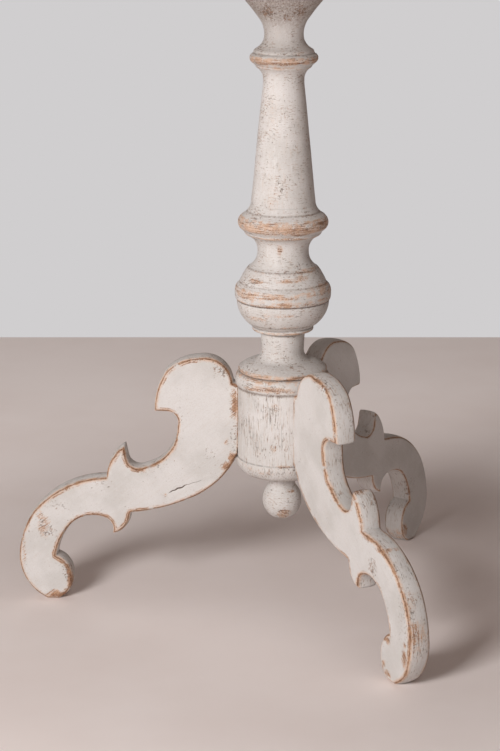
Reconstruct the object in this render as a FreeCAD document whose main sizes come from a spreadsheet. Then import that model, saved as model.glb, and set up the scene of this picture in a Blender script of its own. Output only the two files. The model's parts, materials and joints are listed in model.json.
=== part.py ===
# Tilt top table: a turned pedestal on three scrolled plank legs, under a round top of
# edge-joined boards that tips up on two pivot pins and is held down by a slide latch.
# Millimetres. +Z is up and the origin is on the floor under the pedestal's axis.
# The three legs are set by hand at about 90, 210 and 330 degrees about +Z.
import FreeCAD, Part
import Sketcher
import math
import os

SCREW_TIP = 4.0
PLATE_SCREW_TIP = 2.0
UP = FreeCAD.Vector(0, 0, 1)
INWARD = FreeCAD.Vector(0, -1, 0)

doc = FreeCAD.newDocument("tilt_top_table")
sub_parts = []


# ---------------------------------------------------------------- driving dimensions

DIMENSIONS = {
    # heights above the floor
    "table_height": 740,
    "top_thickness": 24,
    "block_height": 48,
    "hub_base": 146.5,
    "hub_top": 257,
    "ball_height": 343,
    "middle_ring_height": 415,
    "upper_ring_height": 584,
    "neck_height": 606,
    "finial_height": 113,
    # pedestal radii
    "flange_radius": 46.4,
    "ball_radius": 50,
    "middle_ring_radius": 46.6,
    "upper_ring_radius": 34.8,
    "neck_radius": 19.9,
    "capital_radius": 54,
    "hub_radius": 47.7,
    "collar_radius": 49.8,
    "finial_radius": 20.7,
    # joints in the pedestal
    "lower_tenon_radius": 17,
    "lower_tenon_base": 186,
    "upper_tenon_radius": 19,
    "wedge_thickness": 4,
    "wedge_length": 32,
    "finial_dowel_radius": 8,
    "finial_dowel_length": 31.5,
    # legs
    "leg_back_angle": 88.6,
    "leg_left_angle": 210.6,
    "leg_right_angle": 331.6,
    "leg_thickness": 24,
    "leg_tenon_thickness": 10,
    "leg_tenon_inner": 24,
    "leg_tenon_outer": 60,
    "leg_tenon_base": 182,
    "leg_tenon_top": 234,
    # top, battens and pivot
    "top_radius": 400,
    "top_edge_depth": 9,
    "block_width": 180,
    "block_half_depth": 90,
    "block_ovolo": 10,
    "pivot_drop": 24,
    "pivot_clearance": 0.3,
    "pin_radius": 5,
    "pin_clearance": 0.05,
    "pin_inner_end": 50,
    "pin_outer_end": 126,
    "batten_gap": 0.5,
    "batten_width": 36,
    "batten_depth": 44,
    "batten_half_length": 350,
    "batten_taper_start": 290,
    "batten_end_depth": 18,
    "board_seam_front": -205,
    "board_seam_middle": -5,
    "board_seam_back": 190,
    "screw_radius": 2.2,
    "screw_head_radius": 4.4,
    "screw_head_length": 3,
    "screw_into_top": 11,
    # latch
    "plate_half_width": 30,
    "plate_thickness": 3,
    "plate_front": 95,
    "plate_back": 151,
    "case_wall": 1.5,
    "case_depth": 14,
    "case_front": 98,
    "case_back": 148,
    "case_flange_half_width": 25,
    "bolt_half_width": 8,
    "bolt_thickness": 7,
    "bolt_side_gap": 0.3,
    "bolt_nose": 91,
    "bolt_tail": 172,
    "knob_place": 162,
    "knob_radius": 8,
    "knob_stem_radius": 3,
    "spring_half_width": 6,
    "spring_strip": 0.6,
    "strike_half_width": 22,
    "strike_thickness": 2,
    "strike_height": 15.5,
    "strike_slot_gap": 0.5,
    "strike_mortise": 14,
    "plate_screw_radius": 1.5,
    "plate_screw_head_radius": 2.8,
    "plate_screw_head_length": 1.4,
    "plate_screw_length": 12,
}

FORMULAS = {
    "top_underside": "=table_height - top_thickness",
    "block_base": "=table_height - top_thickness - block_height",
    "pivot_height": "=table_height - top_thickness - pivot_drop",
    "pivot_place": "=pivot_drop - block_half_depth",
    "tenon_top": "=table_height - top_thickness - 0.5",
    "plate_base": "=table_height - top_thickness - plate_thickness",
    "bolt_top": "=table_height - top_thickness - plate_thickness - bolt_side_gap",
}


def fill_sheet():
    """Writes one row for each driving dimension and each value worked out from them."""
    sheet = doc.addObject("Spreadsheet::Sheet", "Dims")
    rows = list(DIMENSIONS.items()) + list(FORMULAS.items())
    for row, (alias, content) in enumerate(rows, start=1):
        sheet.set("A%d" % row, alias)
        sheet.setAlias("B%d" % row, alias)
        sheet.set("B%d" % row, str(content))
    doc.recompute()
    return sheet


dims = fill_sheet()


def from_sheet(alias, offset=0.0):
    """An expression for a cell of the sheet, moved by a fixed offset."""
    return "Dims.%s + %.2f" % (alias, offset)


def value_of(length):
    """The number behind a length, which is a number or an expression."""
    if isinstance(length, str):
        return float(dims.evalExpression(length))
    return float(length)


def bind(target, **lengths):
    """Binds properties to expressions, or sets them where the length is a number."""
    for name, length in lengths.items():
        path = name.replace("__", ".")
        if isinstance(length, str):
            target.setExpression(path, length)
        else:
            target.setExpression(path, "%.4f" % length)


def keep(part, label):
    """Makes an object a sub-part of the table, with the label that names its file."""
    part.Label = label
    sub_parts.append(part)
    return part


# ---------------------------------------------------------------- sketch helpers

def line(x, y):
    """A straight run to (x, y)."""
    return {"end": (x, y)}


def arc(through, end):
    """A circular arc through one point to another."""
    return {"through": through, "end": end}


def arc_geometry(first, through, last):
    """The circular arc through three points, and whether it runs anticlockwise."""
    circle = Part.Arc(first, through, last).toShape().Curve
    centre = circle.Center
    turn = (through - first).cross(last - through).z
    anticlockwise = turn > 0
    ends = (first, last) if anticlockwise else (last, first)
    angles = [math.atan2(end.y - centre.y, end.x - centre.x) for end in ends]
    if angles[1] < angles[0]:
        angles[1] += 2 * math.pi
    round_line = Part.Circle(centre, FreeCAD.Vector(0, 0, 1), circle.Radius)
    return Part.ArcOfCircle(round_line, *angles), anticlockwise


def new_sketch(body, name, role):
    """An empty sketch on one of the body's own origin planes."""
    sketch = body.newObject("Sketcher::SketchObject", name)
    plane = [feature for feature in body.Origin.OriginFeatures if feature.Role == role][0]
    sketch.AttachmentSupport = [(plane, "")]
    sketch.MapMode = "FlatFace"
    return sketch


def place_point(sketch, geometry, position, x, y):
    """Fixes a point of the sketch at (x, y), bound to the sheet where they are expressions."""
    for kind, length in (("DistanceX", x), ("DistanceY", y)):
        number = sketch.addConstraint(
            Sketcher.Constraint(kind, -1, 1, geometry, position, value_of(length)))
        if isinstance(length, str):
            sketch.setExpression("Constraints[%d]" % number, length)


def draw_outline(sketch, start, steps):
    """Draws a closed outline of lines and arcs that begins and ends at start."""
    corners = [start] + [step["end"] for step in steps]
    points = [FreeCAD.Vector(value_of(x), value_of(y), 0) for x, y in corners]
    ends = []
    for place, step in enumerate(steps):
        first, last = points[place], points[place + 1]
        if "through" in step:
            middle = FreeCAD.Vector(*[value_of(length) for length in step["through"]], 0)
            curve, anticlockwise = arc_geometry(first, middle, last)
            number = sketch.addGeometry(curve)
            sketch.addConstraint(Sketcher.Constraint("Radius", number, curve.Radius))
        else:
            anticlockwise = True
            number = sketch.addGeometry(Part.LineSegment(first, last))
        ends.append((number, 1, 2) if anticlockwise else (number, 2, 1))
    number = sketch.addGeometry(Part.LineSegment(points[-1], points[0]))
    ends.append((number, 1, 2))
    for here, after in zip(ends, ends[1:] + ends[:1]):
        sketch.addConstraint(
            Sketcher.Constraint("Coincident", here[0], here[2], after[0], after[1]))
    for (number, position, _), (x, y) in zip(ends, corners):
        place_point(sketch, number, position, x, y)


def draw_circle(sketch, x, y, radius):
    """Draws a circle whose centre and radius may be bound to the sheet."""
    centre = FreeCAD.Vector(value_of(x), value_of(y), 0)
    circle = Part.Circle(centre, FreeCAD.Vector(0, 0, 1), value_of(radius))
    number = sketch.addGeometry(circle)
    constraint = sketch.addConstraint(Sketcher.Constraint("Radius", number, value_of(radius)))
    if isinstance(radius, str):
        sketch.setExpression("Constraints[%d]" % constraint, radius)
    place_point(sketch, number, 3, x, y)


def draw_rectangle(sketch, low, high):
    """Draws an upright rectangle between two opposite corners."""
    draw_outline(sketch, low, [
        line(high[0], low[1]),
        line(high[0], high[1]),
        line(low[0], high[1]),
    ])


def pad(body, name, sketch, length):
    """Pads a sketch by half the length to each side of its plane."""
    feature = body.newObject("PartDesign::Pad", name)
    feature.Profile = sketch
    feature.SideType = "Symmetric"
    bind(feature, Length=length)
    return feature


def pocket(body, name, sketch, length):
    """Cuts a sketch away by half the length to each side of its plane."""
    feature = body.newObject("PartDesign::Pocket", name)
    feature.Profile = sketch
    feature.SideType = "Symmetric"
    bind(feature, Length=length)
    return feature


def turned(name, start, steps):
    """A body turned about +Z from an outline of (radius, height) points."""
    body = doc.addObject("PartDesign::Body", name)
    sketch = new_sketch(body, name + "_profile", "XZ_Plane")
    draw_outline(sketch, start, steps)
    feature = body.newObject("PartDesign::Revolution", name + "_turning")
    feature.Profile = sketch
    feature.ReferenceAxis = (sketch, ["V_Axis"])
    feature.Angle = 360
    return body


def padded(name, role, start, steps, length, holes=()):
    """A body padded both ways from an outline, with round holes (x, y, radius)."""
    body = doc.addObject("PartDesign::Body", name)
    sketch = new_sketch(body, name + "_outline", role)
    draw_outline(sketch, start, steps)
    for hole in holes:
        draw_circle(sketch, *hole)
    pad(body, name + "_pad", sketch, length)
    return body


def combine(kind, name, base, tool):
    """A boolean of two objects: Part::Cut or Part::Common."""
    result = doc.addObject(kind, name)
    result.Base = base
    result.Tool = tool
    return result


def box(name, low, high):
    """A box between two corners given as expressions."""
    solid = doc.addObject("Part::Box", name)
    spans = ["(%s) - (%s)" % (high[axis], low[axis]) for axis in range(3)]
    bind(solid, Length=spans[0], Width=spans[1], Height=spans[2])
    bind(solid, Placement__Base__x=low[0], Placement__Base__y=low[1], Placement__Base__z=low[2])
    return solid


# ---------------------------------------------------------------- pedestal

def make_column():
    """The turned shaft, from the tenon in the hub to the wedged tenon in the block."""
    ball = "ball_height"
    middle = "middle_ring_height"
    upper = "upper_ring_height"
    base = "hub_top"
    neck = "neck_height"
    block = "block_base"
    steps = [
        line("Dims.lower_tenon_radius", "Dims.lower_tenon_base"),
        line("Dims.lower_tenon_radius", from_sheet(base)),
        # flange and its cove
        line(from_sheet("flange_radius", -1.8), from_sheet(base)),
        arc((from_sheet("flange_radius"), from_sheet(base, 3.2)),
            (from_sheet("flange_radius", -2), from_sheet(base, 5.6))),
        arc((38.5, from_sheet(base, 9.2)), (31, from_sheet(base, 11.7))),
        arc((24.2, from_sheet(base, 16.2)), (22.3, from_sheet(base, 26))),
        # bead under the ball
        line(23, from_sheet(ball, -43.6)),
        line(30, from_sheet(ball, -41.8)),
        arc((32.1, from_sheet(ball, -40)), (31, from_sheet(ball, -38))),
        line(30.8, from_sheet(ball, -37.4)),
        # lower half of the ball, its scored band, and the upper half
        line(32.4, from_sheet(ball, -36.4)),
        arc((42.6, from_sheet(ball, -26.6)), (48.1, from_sheet(ball, -9.8))),
        line(47.2, from_sheet(ball, -8.9)),
        line(49.3, from_sheet(ball, -8)),
        arc(("Dims.ball_radius", from_sheet(ball, -2.2)), (49.6, from_sheet(ball, 3.4))),
        line(49, from_sheet(ball, 4.1)),
        line(49.2, from_sheet(ball, 4.8)),
        line(48, from_sheet(ball, 7)),
        line(46.2, from_sheet(ball, 8.2)),
        line(45.2, from_sheet(ball, 9.8)),
        arc((42.3, from_sheet(ball, 15.7)), (38.6, from_sheet(ball, 22.2))),
        line(37.4, from_sheet(ball, 23.2)),
        line(37, from_sheet(ball, 24.6)),
        # narrow neck below the middle ring
        arc((29.8, from_sheet(ball, 30.9)), (26.6, from_sheet(ball, 41.5))),
        arc((28.6, from_sheet(middle, -20.6)), (37.6, from_sheet(middle, -12.6))),
        # middle ring, with a bead under it
        line(39.6, from_sheet(middle, -11.2)),
        line(40.2, from_sheet(middle, -9.9)),
        line(39.8, from_sheet(middle, -9.3)),
        line(45, from_sheet(middle, -4.6)),
        arc(("Dims.middle_ring_radius", from_sheet(middle, 0.4)), (44.8, from_sheet(middle, 5.8))),
        line(43.5, from_sheet(middle, 6.6)),
        line(43.2, from_sheet(middle, 7.8)),
        # long tapering shaft
        arc((36.3, from_sheet(middle, 13.2)), (33, from_sheet(middle, 22))),
        arc((28.1, from_sheet(middle, 72)), (21.7, from_sheet(upper, -33))),
        arc((21, from_sheet(upper, -26)), (21, from_sheet(upper, -19.5))),
        arc((24.2, from_sheet(upper, -12.6)), (28.3, from_sheet(upper, -9.4))),
        # upper ring, with a bead under it and a fillet on it
        line(28.9, from_sheet(upper, -8.3)),
        line(28.7, from_sheet(upper, -7.6)),
        line(32.6, from_sheet(upper, -4.3)),
        arc(("Dims.upper_ring_radius", from_sheet(upper, -0.2)), (33.2, from_sheet(upper, 3.6))),
        line(30.9, from_sheet(upper, 4.8)),
        line(30.8, from_sheet(upper, 7)),
        line(29.4, from_sheet(upper, 8.6)),
        # neck, bell of the capital and the ovolo under the block
        arc((22.5, from_sheet(neck, -7.6)), ("Dims.neck_radius", from_sheet(neck, 1))),
        arc((20.8, from_sheet(neck, 8.4)), (23.2, from_sheet(neck, 14.5))),
        arc((31, from_sheet(neck, 25.3)), (42, from_sheet(neck, 38.6))),
        line(42.5, from_sheet(block, -21)),
        line(46.5, from_sheet(block, -19.5)),
        arc(("Dims.capital_radius", from_sheet(block, -11)), (51, from_sheet(block, -3.5))),
        line(48, "Dims.block_base"),
        line("Dims.upper_tenon_radius", "Dims.block_base"),
        line("Dims.upper_tenon_radius", "Dims.tenon_top"),
        line(0, "Dims.tenon_top"),
    ]
    body = turned("column_body", (0, "Dims.lower_tenon_base"), steps)
    slot = new_sketch(body, "wedge_slot", "XZ_Plane")
    draw_wedge(slot)
    pocket(body, "wedge_slot_cut", slot, "4 * Dims.upper_tenon_radius")
    return keep(body, "column")


def draw_wedge(sketch):
    """The narrow triangle that the wedge and its slot share."""
    draw_outline(sketch, ("-Dims.wedge_thickness / 2", "Dims.tenon_top"), [
        line(0, "Dims.tenon_top - Dims.wedge_length"),
        line("Dims.wedge_thickness / 2", "Dims.tenon_top"),
    ])


def make_tenon_wedge():
    """The wedge that spreads the column's upper tenon in the block."""
    body = doc.addObject("PartDesign::Body", "wedge_blank")
    sketch = new_sketch(body, "wedge_outline", "XZ_Plane")
    draw_wedge(sketch)
    pad(body, "wedge_pad", sketch, "4 * Dims.upper_tenon_radius")
    trim = doc.addObject("Part::Cylinder", "tenon_round")
    bind(trim, Radius="Dims.upper_tenon_radius", Height="Dims.block_height")
    bind(trim, Placement__Base__z="Dims.block_base")
    return keep(combine("Part::Common", "wedge", body, trim), "tenon_wedge")


def make_hub(legs):
    """The turned hub, bored for the column and the finial and cut out for the legs."""
    base = "hub_base"
    crown = "hub_top"
    dowel_end = "Dims.hub_base + Dims.finial_dowel_length"
    steps = [
        line("Dims.finial_dowel_radius", dowel_end),
        line("Dims.finial_dowel_radius", "Dims.hub_base"),
        line(38.5, "Dims.hub_base"),
        arc((45.6, from_sheet(base, 6)), (48.8, from_sheet(base, 15.5))),
        line(48.2, from_sheet(base, 17)),
        line(46.8, from_sheet(base, 17.8)),
        line("Dims.hub_radius", from_sheet(base, 19)),
        line("Dims.hub_radius", from_sheet(crown, -15.9)),
        line(48.5, from_sheet(crown, -14.7)),
        arc(("Dims.collar_radius", from_sheet(crown, -7.4)), (47.2, from_sheet(crown, -1.2))),
        line(44.6, "Dims.hub_top"),
        line("Dims.lower_tenon_radius", "Dims.hub_top"),
        line("Dims.lower_tenon_radius", "Dims.lower_tenon_base"),
        line(0, "Dims.lower_tenon_base"),
    ]
    body = turned("hub_body", (0, dowel_end), steps)
    joints = doc.addObject("Part::Compound", "hub_cutters")
    joints.Links = legs
    return keep(combine("Part::Cut", "hub_mortised", body, joints), "hub")


def make_finial():
    """The turned pendant under the hub, held by its own dowel."""
    base = "hub_base"
    ball = "finial_height"
    dowel_end = "Dims.hub_base + Dims.finial_dowel_length"
    body = turned("finial_body", (0, from_sheet(ball, -18.3)), [
        arc((7.6, from_sheet(ball, -17.4)), (14, from_sheet(ball, -13.7))),
        arc(("Dims.finial_radius", from_sheet(ball, 0.6)), (15.2, from_sheet(ball, 17.2))),
        arc((13.6, from_sheet(base, -10)), (15.6, from_sheet(base, -5))),
        arc((17.3, from_sheet(base, -2.6)), (16.5, "Dims.hub_base")),
        line("Dims.finial_dowel_radius", "Dims.hub_base"),
        line("Dims.finial_dowel_radius", dowel_end),
        line(0, dowel_end),
    ])
    return keep(body, "finial")


# ---------------------------------------------------------------- legs

def draw_scroll_leg(sketch):
    """The leg's outline as (distance from the axis, height) points."""
    steps = [
        # underside, from the hub to the small step before the spur
        line(45.1, 171.7),
        arc((65.6, 138.8), (97.4, 116.6)),
        arc((128.4, 105.4), (160.8, 99.3)),
        line(162, 96.5),
        # spur, and the arch behind the foot
        arc((167.7, 82.9), (180.6, 75.7)),
        arc((181.2, 85.4), (187.9, 92.4)),
        arc((208.3, 94.6), (226.3, 84.7)),
        arc((236.9, 68.1), (242.3, 49.1)),
        # round foot with a small flat on the floor
        arc((229.6, 39), (226, 23.2)),
        arc((230.2, 9), (242, 0)),
        line(253, 0),
        arc((274.2, 18.9), (282.4, 46.9)),
        # back of the foot, up to the spike
        arc((278.2, 71.9), (267.7, 95)),
        arc((234.8, 125.1), (192, 137.3)),
        line(186.5, 137.9),
        arc((182.6, 154.5), (173.7, 168.3)),
        line(167.2, 172.8),
        # scallop between the spike and the hook
        arc((165.5, 164.3), (163.2, 155.7)),
        arc((155.2, 149.6), (145.2, 150.6)),
        arc((119.9, 167.3), (110.1, 196)),
        arc((111.5, 206.8), (121, 212.3)),
        line(134.3, 212.7),
        # round head
        arc((131, 236.7), (120.6, 257.7)),
        arc((105.5, 267.5), (87.9, 271.3)),
        arc((63.9, 265.6), (52.3, 243.9)),
        line(40, 239.5),
    ]
    draw_outline(sketch, (40, 171.7), steps)


def make_leg(label):
    """One plank leg: scrolled outline, scribed to the hub, with a tenon."""
    body = doc.addObject("PartDesign::Body", label + "_body")
    outline = new_sketch(body, label + "_outline", "XZ_Plane")
    draw_scroll_leg(outline)
    pad(body, label + "_plank", outline, "Dims.leg_thickness")
    seat = new_sketch(body, label + "_seat", "XY_Plane")
    draw_circle(seat, 0, 0, "Dims.hub_radius")
    pocket(body, label + "_seat_cut", seat, "2 * Dims.table_height")
    tongue = new_sketch(body, label + "_tongue", "XZ_Plane")
    draw_rectangle(
        tongue,
        ("Dims.leg_tenon_inner", "Dims.leg_tenon_base"),
        ("Dims.leg_tenon_outer", "Dims.leg_tenon_top"))
    pad(body, label + "_tenon", tongue, "Dims.leg_tenon_thickness")
    angle = "Dims.%s_angle" % label
    body.Placement.Rotation = FreeCAD.Rotation(UP, value_of(angle))
    bind(body, Placement__Rotation__Angle=angle)
    return keep(body, label)


# ---------------------------------------------------------------- fasteners

def screw(name, radius, head_radius, head_length, length, tip, place, direction):
    """A countersunk screw: head, shank and point along direction from place."""
    head = doc.addObject("Part::Cone", name + "_head")
    bind(head, Radius1=head_radius, Radius2=radius, Height=head_length)
    shank = doc.addObject("Part::Cylinder", name + "_shank")
    bind(shank, Radius=radius, Height="(%s) - (%s) - %.2f" % (length, head_length, tip))
    bind(shank, Placement__Base__z=head_length)
    point = doc.addObject("Part::Cone", name + "_point")
    bind(point, Radius1=radius, Radius2="(%s) / 4" % radius, Height=tip)
    bind(point, Placement__Base__z="(%s) - %.2f" % (length, tip))
    whole = doc.addObject("Part::MultiFuse", name)
    whole.Shapes = [head, shank, point]
    whole.Placement.Rotation = FreeCAD.Rotation(FreeCAD.Vector(0, 0, 1), direction)
    bind(whole, Placement__Base__x=place[0], Placement__Base__y=place[1])
    bind(whole, Placement__Base__z=place[2])
    return whole


def group(name, label, solids):
    """Several identical solids kept as one sub-part."""
    together = doc.addObject("Part::Compound", name)
    together.Links = solids
    return keep(together, label)


def make_batten_screws():
    """One screw through each batten into each board of the top."""
    solids = []
    length = "Dims.batten_depth + Dims.screw_into_top"
    middle = "(Dims.block_width / 2 + Dims.batten_gap + Dims.batten_width / 2)"
    for side, sign in (("left", "-"), ("right", "")):
        for place in (-270, -110, 110, 270):
            name = "screw_%s_%s%d" % (side, "front" if place < 0 else "back", abs(place))
            solids.append(screw(
                name, "Dims.screw_radius", "Dims.screw_head_radius", "Dims.screw_head_length",
                length, SCREW_TIP,
                (sign + middle, "%d" % place, "Dims.top_underside - Dims.batten_depth"), UP))
    return group("batten_screw_group", "batten_screws", solids)


def small_screw(name, place, direction):
    """One of the short screws that hold the latch."""
    return screw(
        name, "Dims.plate_screw_radius", "Dims.plate_screw_head_radius",
        "Dims.plate_screw_head_length", "Dims.plate_screw_length", PLATE_SCREW_TIP,
        place, direction)


def make_latch_screws():
    """Four screws through the case's flanges and the plate into the top."""
    solids = []
    for side, x in (("left", "-18"), ("right", "18")):
        for end, y in (("front", "Dims.case_front + 8"), ("back", "Dims.case_back - 8")):
            solids.append(small_screw(
                "latch_screw_%s_%s" % (side, end),
                (x, y, "Dims.plate_base - Dims.case_wall"), UP))
    return group("latch_screw_group", "latch_screws", solids)


def make_strike_screws():
    """Two screws that hold the strike plate to the block."""
    solids = []
    for side, x in (("left", "-16"), ("right", "16")):
        solids.append(small_screw(
            "strike_screw_" + side,
            (x, "Dims.block_half_depth", "Dims.top_underside - Dims.strike_height / 2"),
            INWARD))
    return group("strike_screw_group", "strike_screws", solids)


# ---------------------------------------------------------------- block, pivot and top

def make_pivot_pin(label, side):
    """A round pin, pressed into the block and running in the batten."""
    pin = doc.addObject("Part::Cylinder", label + "_rod")
    bind(pin, Radius="Dims.pin_radius", Height="Dims.pin_outer_end - Dims.pin_inner_end")
    pin.Placement.Rotation = FreeCAD.Rotation(UP, FreeCAD.Vector(side, 0, 0))
    bind(pin, Placement__Base__x="%d * Dims.pin_inner_end" % side)
    bind(pin, Placement__Base__y="Dims.pivot_place", Placement__Base__z="Dims.pivot_height")
    return keep(pin, label)


def make_pivot_block(pins, screws):
    """The square block: pivot edge rounded about the pins, bored for the tenon."""
    radius = "(Dims.pivot_drop - Dims.pivot_clearance)"
    diagonal = "%s * %.5f" % (radius, math.sqrt(0.5))
    front = "Dims.pivot_place - " + radius
    body = padded("block_body", "YZ_Plane", (front, "Dims.block_base + Dims.block_ovolo"), [
        arc((front + " + 0.3 * Dims.block_ovolo", "Dims.block_base + 0.3 * Dims.block_ovolo"),
            (front + " + Dims.block_ovolo", "Dims.block_base")),
        line("Dims.block_half_depth - Dims.block_ovolo", "Dims.block_base"),
        arc(("Dims.block_half_depth - 0.3 * Dims.block_ovolo",
             "Dims.block_base + 0.3 * Dims.block_ovolo"),
            ("Dims.block_half_depth", "Dims.block_base + Dims.block_ovolo")),
        line("Dims.block_half_depth", "Dims.top_underside"),
        line("Dims.pivot_place + 6", "Dims.top_underside"),
        line("Dims.pivot_place", "Dims.pivot_height + " + radius),
        arc(("Dims.pivot_place - " + diagonal, "Dims.pivot_height + " + diagonal),
            (front, "Dims.pivot_height")),
    ], "Dims.block_width")
    bore = new_sketch(body, "tenon_bore", "XY_Plane")
    draw_circle(bore, 0, 0, "Dims.upper_tenon_radius")
    pocket(body, "tenon_bore_cut", bore, "2 * Dims.table_height")
    doc.recompute()
    mortise = box(
        "strike_mortise_box",
        ("-Dims.bolt_half_width - Dims.strike_slot_gap",
         "Dims.block_half_depth - Dims.strike_mortise",
         "Dims.bolt_top - Dims.bolt_thickness - Dims.strike_slot_gap"),
        ("Dims.bolt_half_width + Dims.strike_slot_gap",
         "Dims.block_half_depth",
         "Dims.bolt_top + Dims.strike_slot_gap"))
    recess = box(
        "strike_recess_box",
        ("-Dims.strike_half_width",
         "Dims.block_half_depth - Dims.strike_thickness",
         "Dims.top_underside - Dims.strike_height"),
        ("Dims.strike_half_width", "Dims.block_half_depth", "Dims.top_underside"))
    tools = doc.addObject("Part::Compound", "block_cutters")
    tools.Links = [mortise, *pins, screws]
    hollow = combine("Part::Cut", "block_bored", body, tools)
    return keep(combine("Part::Cut", "block_recessed", hollow, recess), "pivot_block")


def make_batten(label, side, screws):
    """One bearer under the top, with the running hole for its pivot pin."""
    low = "Dims.top_underside - Dims.batten_depth"
    end = "Dims.top_underside - Dims.batten_end_depth"
    body = padded(
        label + "_body", "YZ_Plane", ("-Dims.batten_half_length", "Dims.top_underside"), [
            line("-Dims.batten_half_length", end),
            line("-Dims.batten_taper_start", low),
            line("Dims.batten_taper_start", low),
            line("Dims.batten_half_length", end),
            line("Dims.batten_half_length", "Dims.top_underside"),
        ], "Dims.batten_width",
        [("Dims.pivot_place", "Dims.pivot_height", "Dims.pin_radius + Dims.pin_clearance")])
    offset = "%d * (Dims.block_width / 2 + Dims.batten_gap + Dims.batten_width / 2)" % side
    bind(body, Placement__Base__x=offset)
    return keep(combine("Part::Cut", label + "_drilled", body, screws), label)


def make_top_boards(batten_screws, latch_screws):
    """Four boards, edge to edge across the battens, cut to a round with an eased edge."""
    rim = "Dims.top_radius - Dims.top_edge_depth"
    middle = "Dims.table_height - Dims.top_thickness / 2"
    disc = turned("top_disc", (0, "Dims.top_underside"), [
        line(rim, "Dims.top_underside"),
        arc(("Dims.top_radius", middle), (rim, "Dims.table_height")),
        line(0, "Dims.table_height"),
    ])
    screws = doc.addObject("Part::Compound", "top_cutters")
    screws.Links = [batten_screws, latch_screws]
    drilled = combine("Part::Cut", "top_drilled", disc, screws)
    seams = [
        "-Dims.top_radius - 1",
        "Dims.board_seam_front",
        "Dims.board_seam_middle",
        "Dims.board_seam_back",
        "Dims.top_radius + 1",
    ]
    for number, (front, back) in enumerate(zip(seams, seams[1:]), start=1):
        strip = box(
            "board_strip_%d" % number,
            ("-Dims.top_radius - 1", front, "Dims.top_underside - 1"),
            ("Dims.top_radius + 1", back, "Dims.table_height + 1"))
        board = combine("Part::Common", "board_cut_%d" % number, drilled, strip)
        keep(board, "top_board_%d" % number)


# ---------------------------------------------------------------- latch

def make_latch_plate(screws):
    """The flat plate under the top that the bolt slides on."""
    plate = box(
        "latch_plate_blank",
        ("-Dims.plate_half_width", "Dims.plate_front", "Dims.plate_base"),
        ("Dims.plate_half_width", "Dims.plate_back", "Dims.top_underside"))
    return keep(combine("Part::Cut", "latch_plate_drilled", plate, screws), "latch_plate")


def make_latch_case(screws):
    """The folded case around the bolt, a channel with two flanges."""
    inner = "(Dims.bolt_half_width + Dims.bolt_side_gap)"
    outer = "(%s + Dims.case_wall)" % inner
    top = "Dims.plate_base"
    under_flange = "Dims.plate_base - Dims.case_wall"
    floor_top = "Dims.plate_base - Dims.case_depth + Dims.case_wall"
    floor_base = "Dims.plate_base - Dims.case_depth"
    body = padded("case_body", "XZ_Plane", ("-Dims.case_flange_half_width", top), [
        line("-Dims.case_flange_half_width", under_flange),
        line("-" + outer, under_flange),
        line("-" + outer, floor_base),
        line(outer, floor_base),
        line(outer, under_flange),
        line("Dims.case_flange_half_width", under_flange),
        line("Dims.case_flange_half_width", top),
        line(inner, top),
        line(inner, floor_top),
        line("-" + inner, floor_top),
        line("-" + inner, top),
    ], "Dims.case_back - Dims.case_front")
    bind(body, Placement__Base__y="(Dims.case_back + Dims.case_front) / 2")
    return keep(combine("Part::Cut", "case_drilled", body, screws), "latch_case")


def make_latch_bolt():
    """The flat bolt, with a sloped nose and a hole for the knob's stem."""
    low = "Dims.bolt_top - Dims.bolt_thickness"
    body = padded("bolt_body", "YZ_Plane", ("Dims.bolt_tail", low), [
        line("Dims.bolt_tail", "Dims.bolt_top"),
        line("Dims.bolt_nose", "Dims.bolt_top"),
        line("Dims.bolt_nose", "Dims.bolt_top - Dims.bolt_thickness / 3"),
        line("Dims.bolt_nose + 5", low),
    ], "2 * Dims.bolt_half_width")
    hole = new_sketch(body, "knob_hole", "XY_Plane")
    draw_circle(hole, 0, "Dims.knob_place", "Dims.knob_stem_radius")
    pocket(body, "knob_hole_cut", hole, "2 * (%s) + Dims.bolt_thickness" % low)
    return keep(body, "latch_bolt")


def make_latch_knob():
    """The turned knob that the bolt is slid by, with its stem in the bolt."""
    seat = "Dims.bolt_top - Dims.bolt_thickness"
    radius = "Dims.knob_radius"
    stem = "Dims.knob_stem_radius"
    body = turned("knob_body", (0, seat + " - 24"), [
        arc((radius + " * 0.6", seat + " - 23.2"), (radius + " * 0.93", seat + " - 20")),
        arc((radius, seat + " - 16.5"), (radius + " * 0.8", seat + " - 13")),
        line(stem, seat + " - 9"),
        line(stem, seat + " + Dims.bolt_thickness / 2"),
        line(0, seat + " + Dims.bolt_thickness / 2"),
    ])
    bind(body, Placement__Base__y="Dims.knob_place")
    return keep(body, "latch_knob")


def make_latch_spring():
    """The bowed leaf spring between the case's floor and the bolt."""
    floor = "Dims.plate_base - Dims.case_depth + Dims.case_wall"
    crest = "Dims.bolt_top - Dims.bolt_thickness - Dims.bolt_side_gap"
    middle = "(Dims.case_front + Dims.case_back) / 2"
    body = padded("spring_body", "YZ_Plane", ("Dims.case_front + 3", floor), [
        arc((middle, crest), ("Dims.case_back - 3", floor)),
        line("Dims.case_back - 5", floor),
        arc((middle, crest + " - Dims.spring_strip"), ("Dims.case_front + 5", floor)),
    ], "2 * Dims.spring_half_width")
    return keep(body, "latch_spring")


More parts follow.
